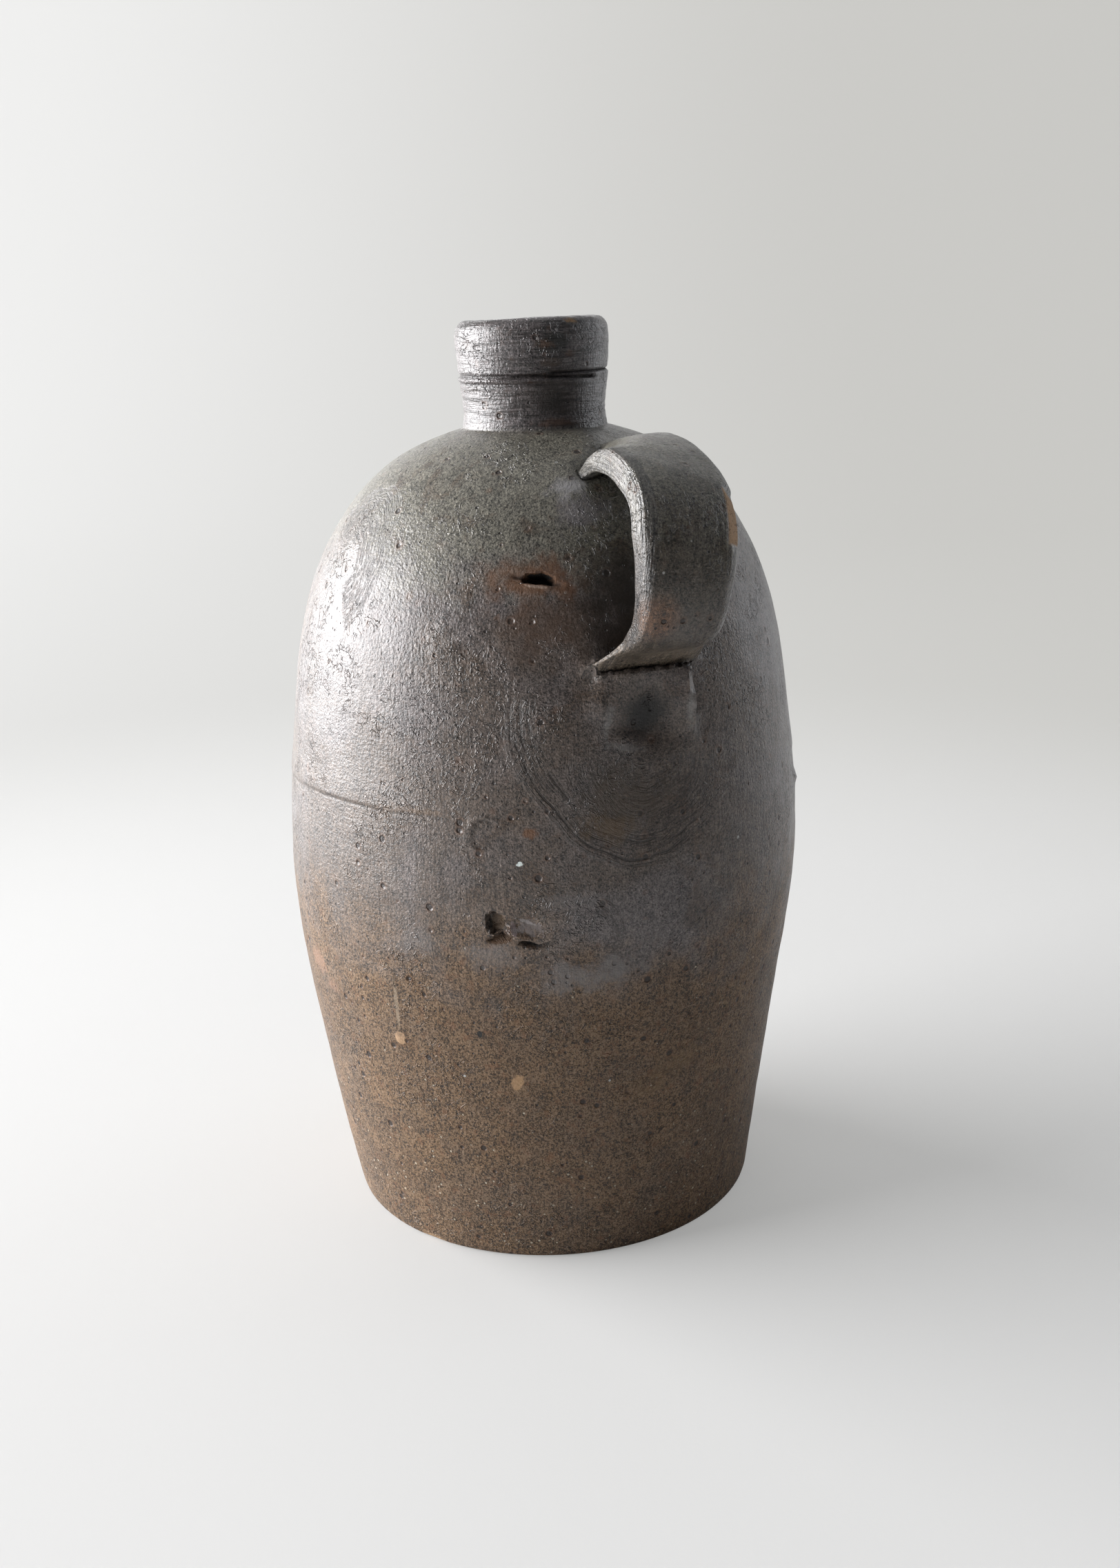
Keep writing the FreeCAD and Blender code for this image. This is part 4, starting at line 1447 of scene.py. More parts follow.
        # Painted shade in the cuts, creases and dent: the colour goes near black and matt, without coat.
        dark = sheet.node("ShaderNodeAttribute", attribute_name="dark").outputs["Fac"]
        colour = sheet.mix(sheet.times(dark, 0.92), colour, self.soot_and_shade)
        rough = sheet.maths("MAXIMUM", rough, sheet.times(dark, Finish.BARE.value))
        torn = sheet.mix(sheet.step(sheet.grain(place, 1.2, 3.0, 0.7), 0.52, 0.72), self.buff, self.torn)
        colour = sheet.mix(bare, colour, torn)
        rough = sheet.maths("MAXIMUM", rough, sheet.times(bare, Finish.BARE.value))
        bump = self._bump(surface, pits, strokes, streaks)
        gloss = sheet.blend(low, self.low_gloss - self.gloss, self.gloss)
        uneven = sheet.step(sheet.grain(place, 9.0, 3.0, 0.6), 0.30, 0.62, 0.3)
        gloss = sheet.times(gloss, sheet.plus(uneven, 0.7))
        gloss = sheet.plus(gloss, sheet.step(height, 0.2570, 0.2600, self.neck_gloss))
        gloss = sheet.times(gloss, sheet.minus(1.0, sheet.maths("MAXIMUM", bare, dark)))
        sheet.feed(shader.inputs["Base Color"], colour)
        sheet.feed(shader.inputs["Roughness"], rough)
        sheet.feed(shader.inputs["Normal"], bump)
        sheet.feed(shader.inputs["Coat Weight"], gloss)
        sheet.feed(shader.inputs["Coat Normal"], bump)
        shader.inputs["IOR"].default_value = self.index
        shader.inputs["Coat IOR"].default_value = self.gloss_index
        shader.inputs["Coat Roughness"].default_value = self.gloss_rough
        return material

    def _ground(self, surface: Surface) -> tuple[Socket, Socket]:
        """Lays the broad colours of the glaze.

        Args:
            surface: The point that is glazed.

        Returns:
            The colour, and how far the point lies in the matt lower part.
        """
        sheet, place, height = surface.sheet, surface.place, surface.height
        broad = sheet.grain(place, 42.0, 3.0, 0.55, 0.6)
        cloudy = sheet.grain(place, 13.0, 4.0, 0.6, 0.8)
        level = sheet.plus(height, sheet.blend(broad, 0.075, -0.037))
        level = sheet.plus(level, sheet.blend(cloudy, 0.03, -0.015))
        low = sheet.step(level, 0.128, 0.088)
        low = sheet.times(low, sheet.minus(1.0, surface.strap))
        upper = sheet.mix(sheet.step(broad, 0.38, 0.64), self.grey, self.lilac)
        top = sheet.step(level, 0.214, 0.244)
        upper = sheet.mix(top, upper, self.olive)
        upper = sheet.mix(sheet.step(cloudy, 0.54, 0.70, 0.6), upper, self.umber)
        wheel = sheet.grain(sheet.stretched(place, (0.06, 0.06, 1.0)), 1.0, 3.0, 0.65)
        thrown = sheet.mix(sheet.step(wheel, 0.40, 0.56), self.neck_lines, self.plum)
        upper = sheet.mix(sheet.step(height, 0.2570, 0.2600), upper, thrown)
        lower = sheet.mix(sheet.step(cloudy, 0.36, 0.66, 0.5), self.khaki, self.umber)
        lower = sheet.mix(sheet.step(broad, 0.58, 0.72, 0.25), lower, self.grey)
        return sheet.mix(low, upper, lower), low

    def _speckle(self, surface: Surface, low: Socket, colour: Socket) -> tuple[Socket, Socket]:
        """Adds salt glaze's own grain from fine to coarse, and the strap's streaks and tints, with painted shade on its
        side faces and painted light at its foot.

        Args:
            surface: The point that is glazed.
            low: How far it lies in the lower part.
            colour: Its colour so far.

        Returns:
            The colour, and the streaks drawn along the strap.
        """
        sheet, place, strap = surface.sheet, surface.place, surface.strap
        along = sheet.node("ShaderNodeAttribute", attribute_name="strap_place").outputs["Vector"]
        streaks = sheet.grain(sheet.stretched(along, (1.0, 0.06, 1.0)), 1.1, 3.0, 0.65)
        streaks = sheet.times(sheet.minus(streaks, 0.5), strap)
        wide = sheet.maths("ABSOLUTE", sheet.node("ShaderNodeSeparateXYZ", {0: along}).outputs["X"])
        streaks = sheet.times(streaks, sheet.plus(sheet.step(wide, 0.0105, 0.0135, 1.6), 1.0))
        upright = sheet.grain(sheet.stretched(place, (1.0, 1.0, 0.055)), 1.7, 2.0, 0.6)
        strong = sheet.blend(low, 1.0, 1.9)
        tone = sheet.blend(streaks, 1.3, 1.0)
        tone = sheet.blend(sheet.minus(upright, 0.5), 0.7, tone)
        for size, share, by in ((0.45, 1.2, strong), (0.9, 1.4, strong), (2.7, 0.9, 1.0), (6.5, 0.8, 1.0)):
            grain = sheet.minus(sheet.grain(place, size, 1.5, 0.6), 0.5)
            grain = sheet.times(grain, share)
            tone = sheet.blend(grain, by, tone)
        tone = sheet.maths("MAXIMUM", tone, 0.22)
        down = sheet.node("ShaderNodeSeparateXYZ", {0: along}).outputs["Y"]
        lower = sheet.times(sheet.step(down, 0.062, 0.080, 0.75), strap)
        colour = sheet.mix(lower, colour, self.strap_lower)
        # Painted shade: the strap's side faces are darkened.
        side = sheet.times(sheet.step(wide, 0.0115, 0.0140, 0.45), strap)
        colour = sheet.mix(side, colour, self.strap_side_shade)
        # Painted light: a paler tint over the strap's foot.
        lower = sheet.times(sheet.step(down, 0.098, 0.112, 0.85), strap)
        colour = sheet.mix(lower, colour, self.strap_foot_painted_light)
        patch = sheet.node("ShaderNodeVectorMath", {0: along, 1: (-0.009, 0.090, 0.004)}, operation="DISTANCE")
        patch = sheet.times(sheet.step(patch.outputs["Value"], 0.008, 0.002, 0.6), strap)
        colour = sheet.mix(patch, colour, self.rust)
        colour = sheet.mix(1.0, colour, tone, "MULTIPLY")
        pale = sheet.times(sheet.step(tone, 1.05, 1.8, 0.55), low)
        return sheet.mix(pale, colour, self.pale_grain), streaks

    def _specks(self, surface: Surface, low: Socket, colour: Socket) -> tuple[Socket, Socket]:
        """Adds iron specks, pits and sand.

        Args:
            surface: The point that is glazed.
            low: How far it lies in the lower part.
            colour: Its colour so far.

        Returns:
            The colour, and the mask of the pits.
        """
        sheet, place = surface.sheet, surface.place
        dots = dots_group()
        tint = sheet.step(sheet.grain(place, 3.4, 3.0, 0.7), 0.56, 0.70, 0.55)
        colour = sheet.mix(sheet.times(tint, sheet.blend(low, 0.7, 0.2)), colour, self.rust)

        def scattered(spacing: float, size: float, share: Feed) -> Socket:
            """Mask of dots about a spacing apart, in millimetres."""
            return sheet.placed(dots, {"Vector": place, "Scale": 1.0 / (spacing * MM), "Size": size / spacing,
                                       "Share": share})["Mask"]

        crowd = sheet.step(sheet.grain(place, 16.0, 2.0, 0.5), 0.42, 0.62)
        share = sheet.blend(low, 0.18, 0.10)
        share = sheet.blend(crowd, 0.28, share)
        pits = scattered(4.6, 1.05, share)
        fine = scattered(1.9, 0.42, sheet.times(share, 0.9))
        rust = scattered(4.6, 1.7, share)
        colour = sheet.mix(sheet.times(rust, 0.28), colour, self.rust)
        pits = sheet.maths("MAXIMUM", pits, fine)
        colour = sheet.mix(sheet.times(pits, 0.92), colour, self.pit)
        near_foot = sheet.step(surface.height, 0.062, 0.016)
        sand = scattered(1.9, 0.42, sheet.blend(near_foot, 0.42, sheet.times(low, 0.06)))
        colour = sheet.mix(sheet.times(sand, 0.9), colour, self.sand)
        return sheet.mix(scattered(8.5, 0.5, 0.2), colour, self.fleck), pits

    def _wiped(self, surface: Surface, colour: Socket, rough: Socket) -> tuple[Socket, Socket, Socket]:
        """Draws the wipe strokes.

        Args:
            surface: The point that is glazed.
            colour: Its colour so far.
            rough: Its roughness so far.

        Returns:
            The colour, the roughness, and the depth of the strokes.
        """
        sheet = surface.sheet
        group = wipe_group()
        strokes, rims = 0.0, 0.0
        for wipe in self.wipes():
            angle = math.radians(wipe.toward)
            made = sheet.placed(group, {"Place": surface.near(wipe.place), "Inner": wipe.inner, "Outer": wipe.outer,
                                        "Toward": (0.0, math.cos(angle), math.sin(angle)), "Spread": wipe.spread,
                                        "Fineness": wipe.fineness})
            lines = sheet.times(made["Strokes"], wipe.tone)
            colour = sheet.mix(sheet.times(lines, 0.95), colour, self.stroke_dark_and_shade)
            rough = sheet.blend(lines, -0.16, rough)
            strokes = sheet.plus(strokes, lines)
            rims = sheet.blend(made["Rim"], wipe.rim, rims)
        colour = sheet.mix(sheet.times(rims, 0.35), colour, self.cloud)
        return colour, rough, sheet.minus(strokes, sheet.times(rims, 1.4))

    def _overlaid(self, surface: Surface, colour: Socket, rough: Socket) -> tuple[Socket, Socket]:
        """Lays the patches over the glaze.

        Args:
            surface: The point that is glazed.
            colour: Its colour so far.
            rough: Its roughness so far.

        Returns:
            The colour and the roughness.
        """
        sheet, place = surface.sheet, surface.place
        group = patch_group()
        small = sheet.minus(sheet.grain(place, 1.6, 3.0, 0.65), 0.5)
        large = sheet.minus(sheet.grain(place, 7.0, 4.0, 0.65), 0.5)
        for stain in self.stains_and_painted_light():
            big = min(stain.place.half_width, stain.place.half_height) > 3.4
            made = sheet.placed(group, {"Place": surface.near(stain.place), "Wobble": large if big else small,
                                        "Ragged": stain.ragged * 3.0, "Soft": stain.soft})
            share = sheet.times(made["Mask"], stain.strength)
            colour = sheet.mix(share, colour, stain.colour)
            wanted = sheet.times(share, stain.finish.value)
            kept = sheet.times(rough, sheet.minus(1.0, share))
            rough = sheet.plus(kept, wanted)
        return colour, rough

    def _bump(self, surface: Surface, pits: Socket, strokes: Socket, streaks: Socket) -> Socket:
        """Adds the fine relief: orange peel, wheel lines, upright streaks, pits and strokes.

        Args:
            surface: The point that is glazed.
            pits: Mask of the pits.
            strokes: Depth of the wipe strokes.
            streaks: Streaks drawn along the strap.

        Returns:
            The bent normal.
        """
        sheet, place = surface.sheet, surface.place
        neck = sheet.step(surface.height, 0.2585, 0.2610, 3.2)
        peel = sheet.grain(place, 0.8, 2.0, 0.6)
        lumps = sheet.grain(place, 1.9, 2.0, 0.55)
        wheel = sheet.grain(sheet.stretched(place, (0.08, 0.08, 1.0)), 1.1, 3.0, 0.6)
        upright = sheet.grain(sheet.stretched(place, (1.0, 1.0, 0.07)), 1.0, 2.0, 0.6)
        vein = sheet.maths("ABSOLUTE", sheet.minus(sheet.grain(place, 3.6, 2.0, 0.6, 0.5), 0.5))
        crowded = sheet.step(sheet.grain(place, 23.0, 2.0, 0.5), 0.50, 0.60, 2.0)
        relief = sheet.times(sheet.step(vein, 0.030, 0.0), crowded)
        relief = sheet.blend(peel, 1.3, relief)
        relief = sheet.blend(lumps, 0.6, relief)
        relief = sheet.blend(wheel, sheet.plus(neck, 0.5), relief)
        relief = sheet.blend(upright, 0.8, relief)
        relief = sheet.blend(pits, -2.4, relief)
        relief = sheet.blend(strokes, -1.1, relief)
        relief = sheet.blend(streaks, 1.6, relief)
        return sheet.node("ShaderNodeBump", {"Height": relief, "Strength": 0.9, "Distance": 0.19 * MM}).outputs[0]


@dataclass
class Jug:
    """The whole jug: thrown, handled, marked, chipped and glazed."""

    profile: Profile = field(default_factory=Profile)
    lean: Lean = field(default_factory=Lean)
    glaze: SaltGlaze = field(default_factory=SaltGlaze)
    join_steps: int = 3
    join_passes: int = 10
    foot_passes: int = 1
    foot_zone: tuple[float, float] = (60.0, 203.0)
    crease_zone: tuple[float, float, float] = (70.0, -12.0, 197.5)
    sharp_angle: float = 48.0

    def chips(self) -> list[Chip]:
        """Small breaks on the lip and the foot."""
        return [
            Chip((-3.0, -23.0, 290.6), (-0.1, -0.8, 0.6), 3.0),
            Chip((22.0, 6.0, 290.9), (0.75, 0.1, 0.65), 4.5),
            Chip((37.0, -57.4, 1.0), (0.45, -0.7, -0.55), 4.0),
        ]

    def build(self) -> Piece:
        """Makes the jug.

        Returns:
            The finished piece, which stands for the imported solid.
        """
        body = TurnedBody(self.profile)
        strap = Strap(self.profile)
        marks = Marks(self.profile)
        jug = body.outer()
        log.info("thrown body: %d faces", len(jug.data.polygons))
        self._paint(jug, 0)
        handle = strap.build()
        self._paint(handle, 1)
        log.info("pulled strap: %d faces", len(handle.data.polygons))
        Clay.cut_or_join(jug, handle, "UNION")
        Clay.cut_or_join(jug, body.cavity(), "DIFFERENCE")
        log.info("joined and hollowed: %d faces", len(jug.data.polygons))
        root, foot = self._crossings(jug)
        self._soften_join(jug)
        self._refine_places(jug, foot)
        share = self._strap_share(jug)
        across, out, along = self._strap_places(jug, strap, share)
        dark = marks.press(jug, share, self._distance(jug, root), self._distance(jug, foot))
        broken = np.zeros(len(share))
        for part in strap.breaks:
            broken = np.maximum(broken, share * smooth_step(-0.25, -0.05, part.past(across, out, along)))
        broken = np.maximum(broken, self._chip(jug))
        self._store(jug, "strap", share)
        self._store(jug, "broken", broken)
        # The painted shade of the cuts, creases and dent, for the glaze to read.
        self._store(jug, "dark", dark)
        places = np.column_stack([across, along * strap.line.length, out]) * share[:, None] * MM
        layer = jug.data.attributes.new("strap_place", "FLOAT_VECTOR", "POINT")
        layer.data.foreach_set("vector", places.astype(np.float32).ravel())
        Clay.put(jug, self.lean.moved(Clay.points(jug)))
        self._dress(jug)
        log.info("finished jug: %d faces", len(jug.data.polygons))
        return jug

    @staticmethod
    def _paint(piece: Piece, number: int) -> None:
        """Gives every face of a piece one of two material numbers, so that the strap is known after the join."""
        for label in ("body", "strap"):
            piece.data.materials.append(bpy.data.materials.get(label) or bpy.data.materials.new(label))
        piece.data.polygons.foreach_set("material_index", [number] * len(piece.data.polygons))

    def _soften_join(self, jug: Piece) -> None:
        """Rounds the crease where the strap meets the wall, as wet fingers did, but not the one under its foot.

        Args:
            jug: The joined jug.
        """
        out, across, up = (edge * MM for edge in self.crease_zone)
        Clay.only(jug)
        bpy.ops.object.mode_set(mode="EDIT")
        bpy.ops.mesh.select_mode(type="VERT")
        bpy.ops.mesh.select_all(action="DESELECT")
        mesh = bmesh.from_edit_mesh(jug.data)
        for edge in mesh.edges:
            kinds = {face.material_index for face in edge.link_faces}
            if len(kinds) == 2:
                for vertex in edge.verts:
                    vertex.select_set(True)
        mesh.select_flush(True)
        bmesh.update_edit_mesh(jug.data)
        bpy.ops.mesh.remove_doubles(threshold=0.10 * MM)
        for _ in range(self.join_steps):
            bpy.ops.mesh.select_more()
        bpy.ops.mesh.vertices_smooth(factor=0.5, repeat=self.foot_passes)
        mesh = bmesh.from_edit_mesh(jug.data)
        for vertex in mesh.verts:
            if vertex.select and vertex.co.x > out and vertex.co.y > across and vertex.co.z < up:
                vertex.select_set(False)
        mesh.select_flush(False)
        bmesh.update_edit_mesh(jug.data)
        bpy.ops.mesh.vertices_smooth(factor=0.5, repeat=self.join_passes - self.foot_passes)
        bpy.ops.mesh.select_all(action="SELECT")
        bpy.ops.mesh.dissolve_degenerate(threshold=0.03 * MM)
        bpy.ops.mesh.select_mode(type="FACE")
        bpy.ops.mesh.select_all(action="DESELECT")
        bpy.ops.mesh.select_face_by_sides(number=4, type="GREATER")
        bpy.ops.mesh.quads_convert_to_tris(quad_method="BEAUTY", ngon_method="BEAUTY")
        bpy.ops.object.mode_set(mode="OBJECT")

    def _crossings(self, jug: Piece) -> tuple[Array, Array]:
        """Finds where the strap meets the wall.

        Args:
            jug: The joined jug.

        Returns:
            Points round the root and round the foot, in millimetres.
        """
        kinds = {}
        for face in jug.data.polygons:
            for vertex in face.vertices:
                kinds.setdefault(vertex, set()).add(face.material_index)
        both = [vertex for vertex, found in kinds.items() if len(found) == 2]
        points = Clay.points(jug)[both]
        low = (points[:, 0] > self.foot_zone[0]) & (points[:, 2] < self.foot_zone[1])
        return points[~low], points[low]

    @staticmethod
    def _tree(line: Array) -> KDTree:
        """Some points in millimetres, ready to be searched for the nearest."""
        tree = KDTree(len(line))
        for number, point in enumerate(line):
            tree.insert(point, number)
        tree.balance()
        return tree

    def _distance(self, jug: Piece, line: Array) -> Array:
        """Distance of each vertex from the nearest of some points, in millimetres."""
        tree = self._tree(line)
        return np.array([tree.find(point)[2] for point in Clay.points(jug)])

    def _refine_places(self, jug: Piece, foot: Array) -> None:
        """Divides the faces where fine marks will be pressed.

        Args:
            jug: The joined jug.
            foot: Points round the strap's foot in millimetres.
        """
        spots = {"tongue": (Vector((80.0, 1.5, 183.0)), 24.0), "slit": (Vector((64.7, -25.1, 220.4)), 11.5),
                 "gouge": (Vector((74.0, -41.5, 119.5)), 12.0), "drip": (Vector((47.5, -67.0, 91.0)), 17.0),
                 "ring": (Vector((70.0, -46.0, 148.8)), 7.5), "crinkle": (Vector((56.5, -47.0, 205.0)), 12.0)}
        for where, reach in spots.values():
            self._refine(jug, lambda centre: (centre - where).length < reach)
        for name, reach in (("slit", 9.5), ("gouge", 10.0), ("ring", 6.8)):
            where = spots[name][0]
            self._refine(jug, lambda centre: (centre - where).length < reach)
        tree = self._tree(foot)
        for reach in (3.0, 1.6):
            self._refine(jug, lambda centre: centre.x > self.foot_zone[0] and tree.find(centre)[2] < reach)

    @staticmethod
    def _refine(jug: Piece, wanted: Callable[[Vector], bool]) -> None:
        """Divides faces once more.

        Args:
            jug: The joined jug.
            wanted: Tells from a face's centre in millimetres whether it is divided.
        """
        Clay.only(jug)
        bpy.ops.object.mode_set(mode="EDIT")
        bpy.ops.mesh.select_mode(type="FACE")
        bpy.ops.mesh.select_all(action="DESELECT")
        mesh = bmesh.from_edit_mesh(jug.data)
        for face in mesh.faces:
            if wanted(face.calc_center_median() / MM):
                face.select_set(True)
        bmesh.update_edit_mesh(jug.data)
        bpy.ops.mesh.subdivide(number_cuts=1)
        bpy.ops.object.mode_set(mode="OBJECT")

    @staticmethod
    def _strap_places(jug: Piece, strap: Strap,
                      share: Array) -> tuple[Array, Array, Array]:
        """Distance across, distance out and share of the length of each vertex of the strap."""
        points = Clay.points(jug)
        found = np.flatnonzero(share > 0.0)
        rows = np.zeros((3, len(points)))
        rows[:, found] = strap.coordinates(points[found])
        return rows[0], rows[1], rows[2]

    @staticmethod
    def _strap_share(jug: Piece) -> Array:
        """How far each vertex belongs to the strap, fading over the join.

        Args:
            jug: The joined jug, whose faces still have their two material numbers.

        Returns:
            Shares from 0 to 1.
        """
        share = np.zeros(len(jug.data.vertices))
        count = np.zeros(len(jug.data.vertices))
        for face in jug.data.polygons:
            for vertex in face.vertices:
                share[vertex] += face.material_index
                count[vertex] += 1
        share /= np.maximum(count, 1.0)
        edges = np.empty(len(jug.data.edges) * 2, int)
        jug.data.edges.foreach_get("vertices", edges)
        one, other = edges.reshape(-1, 2).T
        for _ in range(2):
            total = share.copy()
            near = np.ones_like(share)
            np.add.at(total, one, share[other])
            np.add.at(total, other, share[one])
            np.add.at(near, one, 1.0)
            np.add.at(near, other, 1.0)
            share = total / near
        return share

    def _chip(self, jug: Piece) -> Array:
        """Breaks the chips off.

        Args:
            jug: The marked jug.

        Returns:
            How far each vertex is broken clay, from 0 to 1.
        """
        points = Clay.points(jug)
        cut = np.zeros(len(points))
        for chip in self.chips():
            cut = np.maximum(cut, smooth_step(0.02, 0.12, chip.depth(points)))
            points = chip.broken(points)
        Clay.put(jug, points)
        return cut

    @staticmethod
    def _store(jug: Piece, name: str, values: Array) -> None:
        """Keeps one number for each vertex, for the glaze to read."""
        layer = jug.data.attributes.new(name, "FLOAT", "POINT")
        layer.data.foreach_set("value", values.astype(np.float32))

    def _dress(self, jug: Piece) -> None:
        """Glazes the jug, smooths its shading and gives it its place among the solids.

        Args:
            jug: The finished clay.
        """
        jug.data.materials.clear()
        jug.data.materials.append(self.glaze.build(self.profile, self.lean))
        jug.data.polygons.foreach_set("material_index", [0] * len(jug.data.polygons))
        Clay.only(jug)
        bpy.ops.object.shade_smooth_by_angle(angle=math.radians(self.sharp_angle))
        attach(jug, "root")
        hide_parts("jug")


@dataclass
class Eye:
    """Where the photograph was taken from, in millimetres, degrees and pixels."""

    compass: float = 68.8
    distance: float = 539.4
    height: float = 299.0
    pitch: float = 16.52
    roll: float = 1.79
    yaw: float = 0.68
    focal: float = 2406.0
    image_height: float = 2274.0

    @property
    def right(self) -> Vector:
        """Level way to the right of the view."""
        return Vector((math.cos(math.radians(self.compass)), math.sin(math.radians(self.compass)), 0.0))

    @property
    def away(self) -> Vector:
        """Level way from the camera to the jug."""
        return Vector((-self.right.y, self.right.x, 0.0))

    def build(self) -> Piece:
        """Sets the camera up.

        Returns:
            The scene's camera.
        """
        up = Vector((0.0, 0.0, 1.0))
        pitch, roll, yaw = (math.radians(value) for value in (self.pitch, self.roll, self.yaw))
        ahead = (self.away * math.cos(yaw) + self.right * math.sin(yaw)) * math.cos(pitch) - up * math.sin(pitch)
        side = self.right * math.cos(yaw) - self.away * math.sin(yaw)
        top = side.cross(ahead)
        across = side * math.cos(roll) - top * math.sin(roll)
        upright = side * math.sin(roll) + top * math.cos(roll)
        placed = Matrix((across, upright, -ahead)).transposed().to_4x4()
        placed.translation = (-self.away * self.distance + up * self.height) * MM
        lens = bpy.data.cameras.new("eye")
        lens.sensor_fit = "VERTICAL"
        lens.sensor_height = 36.0
        lens.lens = lens.sensor_height * self.focal / self.image_height
        camera = bpy.data.objects.new("eye", lens)
        bpy.context.scene.collection.objects.link(camera)
        camera.matrix_world = placed
        bpy.context.scene.camera = camera
        return camera


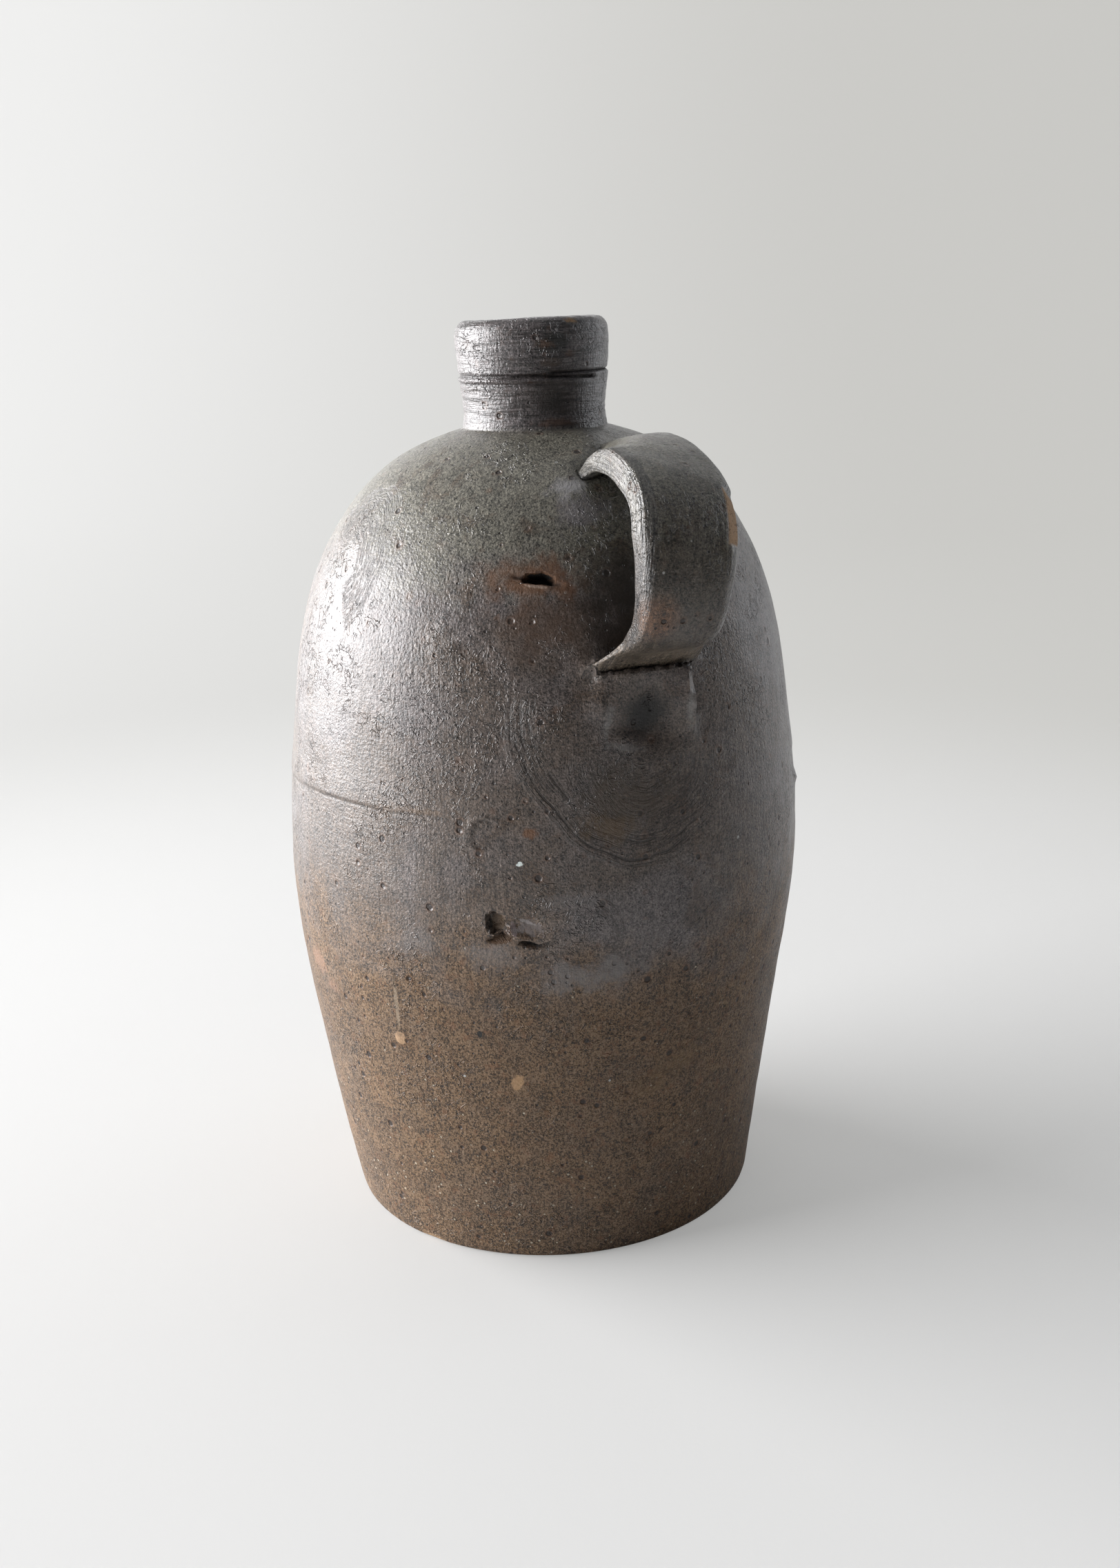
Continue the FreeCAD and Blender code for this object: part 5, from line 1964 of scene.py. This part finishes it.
@dataclass
class Studio:
    """Pale sweep and soft window light from the left."""

    eye: Eye
    half_width: float = 3600.0
    front: float = 1500.0
    back: float = 1500.0
    curve: float = 900.0
    curve_steps: int = 24
    wall: float = 2200.0
    paper: Colour = (0.80, 0.80, 0.79, 1.0)
    # Painted shade of the backdrop's glow: to the right far back, and to the right near the camera.
    paper_far_right_shade: Colour = (0.58, 0.575, 0.55, 1.0)
    paper_near_right_shade: Colour = (0.71, 0.71, 0.695, 1.0)
    world: Colour = (0.92, 0.94, 1.0, 1.0)
    world_strength: float = 0.09

    def sweep(self) -> Piece:
        """Floor that curves up into a wall behind the jug.

        Returns:
            The sheet of paper.
        """
        right, away = self.eye.right, self.eye.away
        bpy.ops.object.select_all(action="DESELECT")
        bpy.ops.mesh.primitive_plane_add(size=1.0)
        floor = bpy.context.object
        floor.name = floor.data.name = "sweep"
        bpy.ops.object.mode_set(mode="EDIT")
        mesh = bmesh.from_edit_mesh(floor.data)
        for vertex in mesh.verts:
            x, y = vertex.co.x * 2.0, vertex.co.y
            vertex.co = (right * x * self.half_width + away * (self.back if y > 0 else -self.front)) * MM
        bpy.ops.mesh.select_all(action="DESELECT")
        bpy.ops.mesh.select_mode(type="EDGE")
        mesh = bmesh.from_edit_mesh(floor.data)
        far = max(mesh.edges, key=lambda edge: (edge.verts[0].co + edge.verts[1].co).dot(away))
        far.select_set(True)
        mesh.select_flush(True)
        bmesh.update_edit_mesh(floor.data)
        for i in range(self.curve_steps):
            angle = (i + 0.5) / self.curve_steps * math.pi / 2.0
            length = self.curve * math.pi / 2.0 / self.curve_steps * MM
            rise = away * (math.cos(angle) * length) + Vector((0.0, 0.0, math.sin(angle) * length))
            bpy.ops.mesh.extrude_region_move(TRANSFORM_OT_translate={"value": rise})
        bpy.ops.mesh.extrude_region_move(TRANSFORM_OT_translate={"value": (0.0, 0.0, self.wall * MM)})
        bpy.ops.object.mode_set(mode="OBJECT")
        bpy.ops.object.shade_smooth()
        floor.data.materials.append(self._paper())
        return floor

    def _paper(self) -> bpy.types.Material:
        """Matt pale paper with a very faint tooth, which the camera sees partly glowing with painted light: brightest
        on the left, with painted shade to the right that is lighter near the camera.

        Returns:
            The material.
        """
        material = bpy.data.materials.new("paper")
        material.use_nodes = True
        sheet = Sheet(material.node_tree)
        shader = material.node_tree.nodes["Principled BSDF"]
        place = sheet.node("ShaderNodeTexCoord").outputs["Object"]
        tooth = sheet.grain(place, 1.5, 2.0, 0.6)
        shader.inputs["Base Color"].default_value = self.paper
        shader.inputs["Roughness"].default_value = 0.9
        shader.inputs["Specular IOR Level"].default_value = 0.2
        bump = sheet.node("ShaderNodeBump", {"Height": tooth, "Strength": 0.2, "Distance": 0.1 * MM}).outputs[0]
        sheet.feed(shader.inputs["Normal"], bump)
        # Painted light on the backdrop: a glow seen only by the camera, pale on the left and shaded to the right,
        # weaker near the jug so that its shadow stays.
        across = sheet.node("ShaderNodeVectorMath", {0: place, 1: tuple(self.eye.right)}, operation="DOT_PRODUCT")
        along = sheet.node("ShaderNodeVectorMath", {0: place, 1: tuple(self.eye.away)}, operation="DOT_PRODUCT")
        right = sheet.mix(sheet.step(along.outputs["Value"], -0.2, 0.6), self.paper_near_right_shade, self.paper_far_right_shade)
        plain = sheet.mix(sheet.step(across.outputs["Value"], -0.9, 0.6), self.paper, right)
        glow = sheet.node("ShaderNodeEmission", {"Color": plain}).outputs[0]
        reach = sheet.node("ShaderNodeVectorMath", {0: place}, operation="LENGTH").outputs["Value"]
        share = sheet.plus(sheet.step(reach, 0.25, 0.80, 0.50), 0.40)
        share = sheet.times(share, sheet.node("ShaderNodeLightPath").outputs["Is Camera Ray"])
        output = material.node_tree.nodes["Material Output"]
        even = sheet.node("ShaderNodeMixShader", {0: share, 1: shader.outputs[0], 2: glow})
        sheet.feed(output.inputs["Surface"], even.outputs[0])
        return material

    def lamp(self, name: str, side: float, far: float, height: float, size: tuple[float, float], power: float,
             colour: tuple[float, float, float]) -> Piece:
        """Hangs one soft lamp that looks at the jug.

        Args:
            name: Name of the lamp.
            side: Distance to the right of the jug in millimetres.
            far: Distance behind the jug in millimetres.
            height: Height in millimetres.
            size: Width and height of the lamp in millimetres.
            power: Power in watts.
            colour: Colour of the light.

        Returns:
            The lamp.
        """
        light = bpy.data.lights.new(name, "AREA")
        light.shape = "RECTANGLE"
        light.size, light.size_y = size[0] * MM, size[1] * MM
        light.energy = power
        light.color = colour
        lamp = bpy.data.objects.new(name, light)
        bpy.context.scene.collection.objects.link(lamp)
        lamp.location = (self.eye.right * side + self.eye.away * far + Vector((0.0, 0.0, height))) * MM
        target = Vector((0.0, 0.0, 0.15))
        lamp.rotation_euler = (target - lamp.location).to_track_quat("-Z", "Y").to_euler()
        return lamp

    def build(self) -> None:
        """Sets the sweep, the lamps and the world."""
        self.sweep()
        self.lamp("window", side=-2190.0, far=300.0, height=700.0, size=(2800.0, 1380.0), power=183.0,
                  colour=(0.99, 0.985, 1.0))
        self.lamp("room", side=1800.0, far=900.0, height=700.0, size=(1200.0, 1400.0), power=9.0,
                  colour=(0.93, 0.96, 1.0))
        self.lamp("ceiling", side=0.0, far=500.0, height=2400.0, size=(2400.0, 2400.0), power=9.0,
                  colour=(1.0, 1.0, 1.0))
        world = bpy.data.worlds.new("pale_room")
        world.use_nodes = True
        back = world.node_tree.nodes["Background"]
        back.inputs["Color"].default_value = self.world
        back.inputs["Strength"].default_value = self.world_strength
        bpy.context.scene.world = world
        bpy.context.scene.view_settings.view_transform = "Standard"


def main() -> None:
    """Makes the jug, the studio and the view."""
    logging.basicConfig(level=logging.INFO, format="%(name)s: %(message)s")
    eye = Eye()
    jug = Jug().build()
    Studio(eye).build()
    eye.build()
    log.info("%s stands for the packed solid", jug.name)


if __name__ == "__main__":
    main()
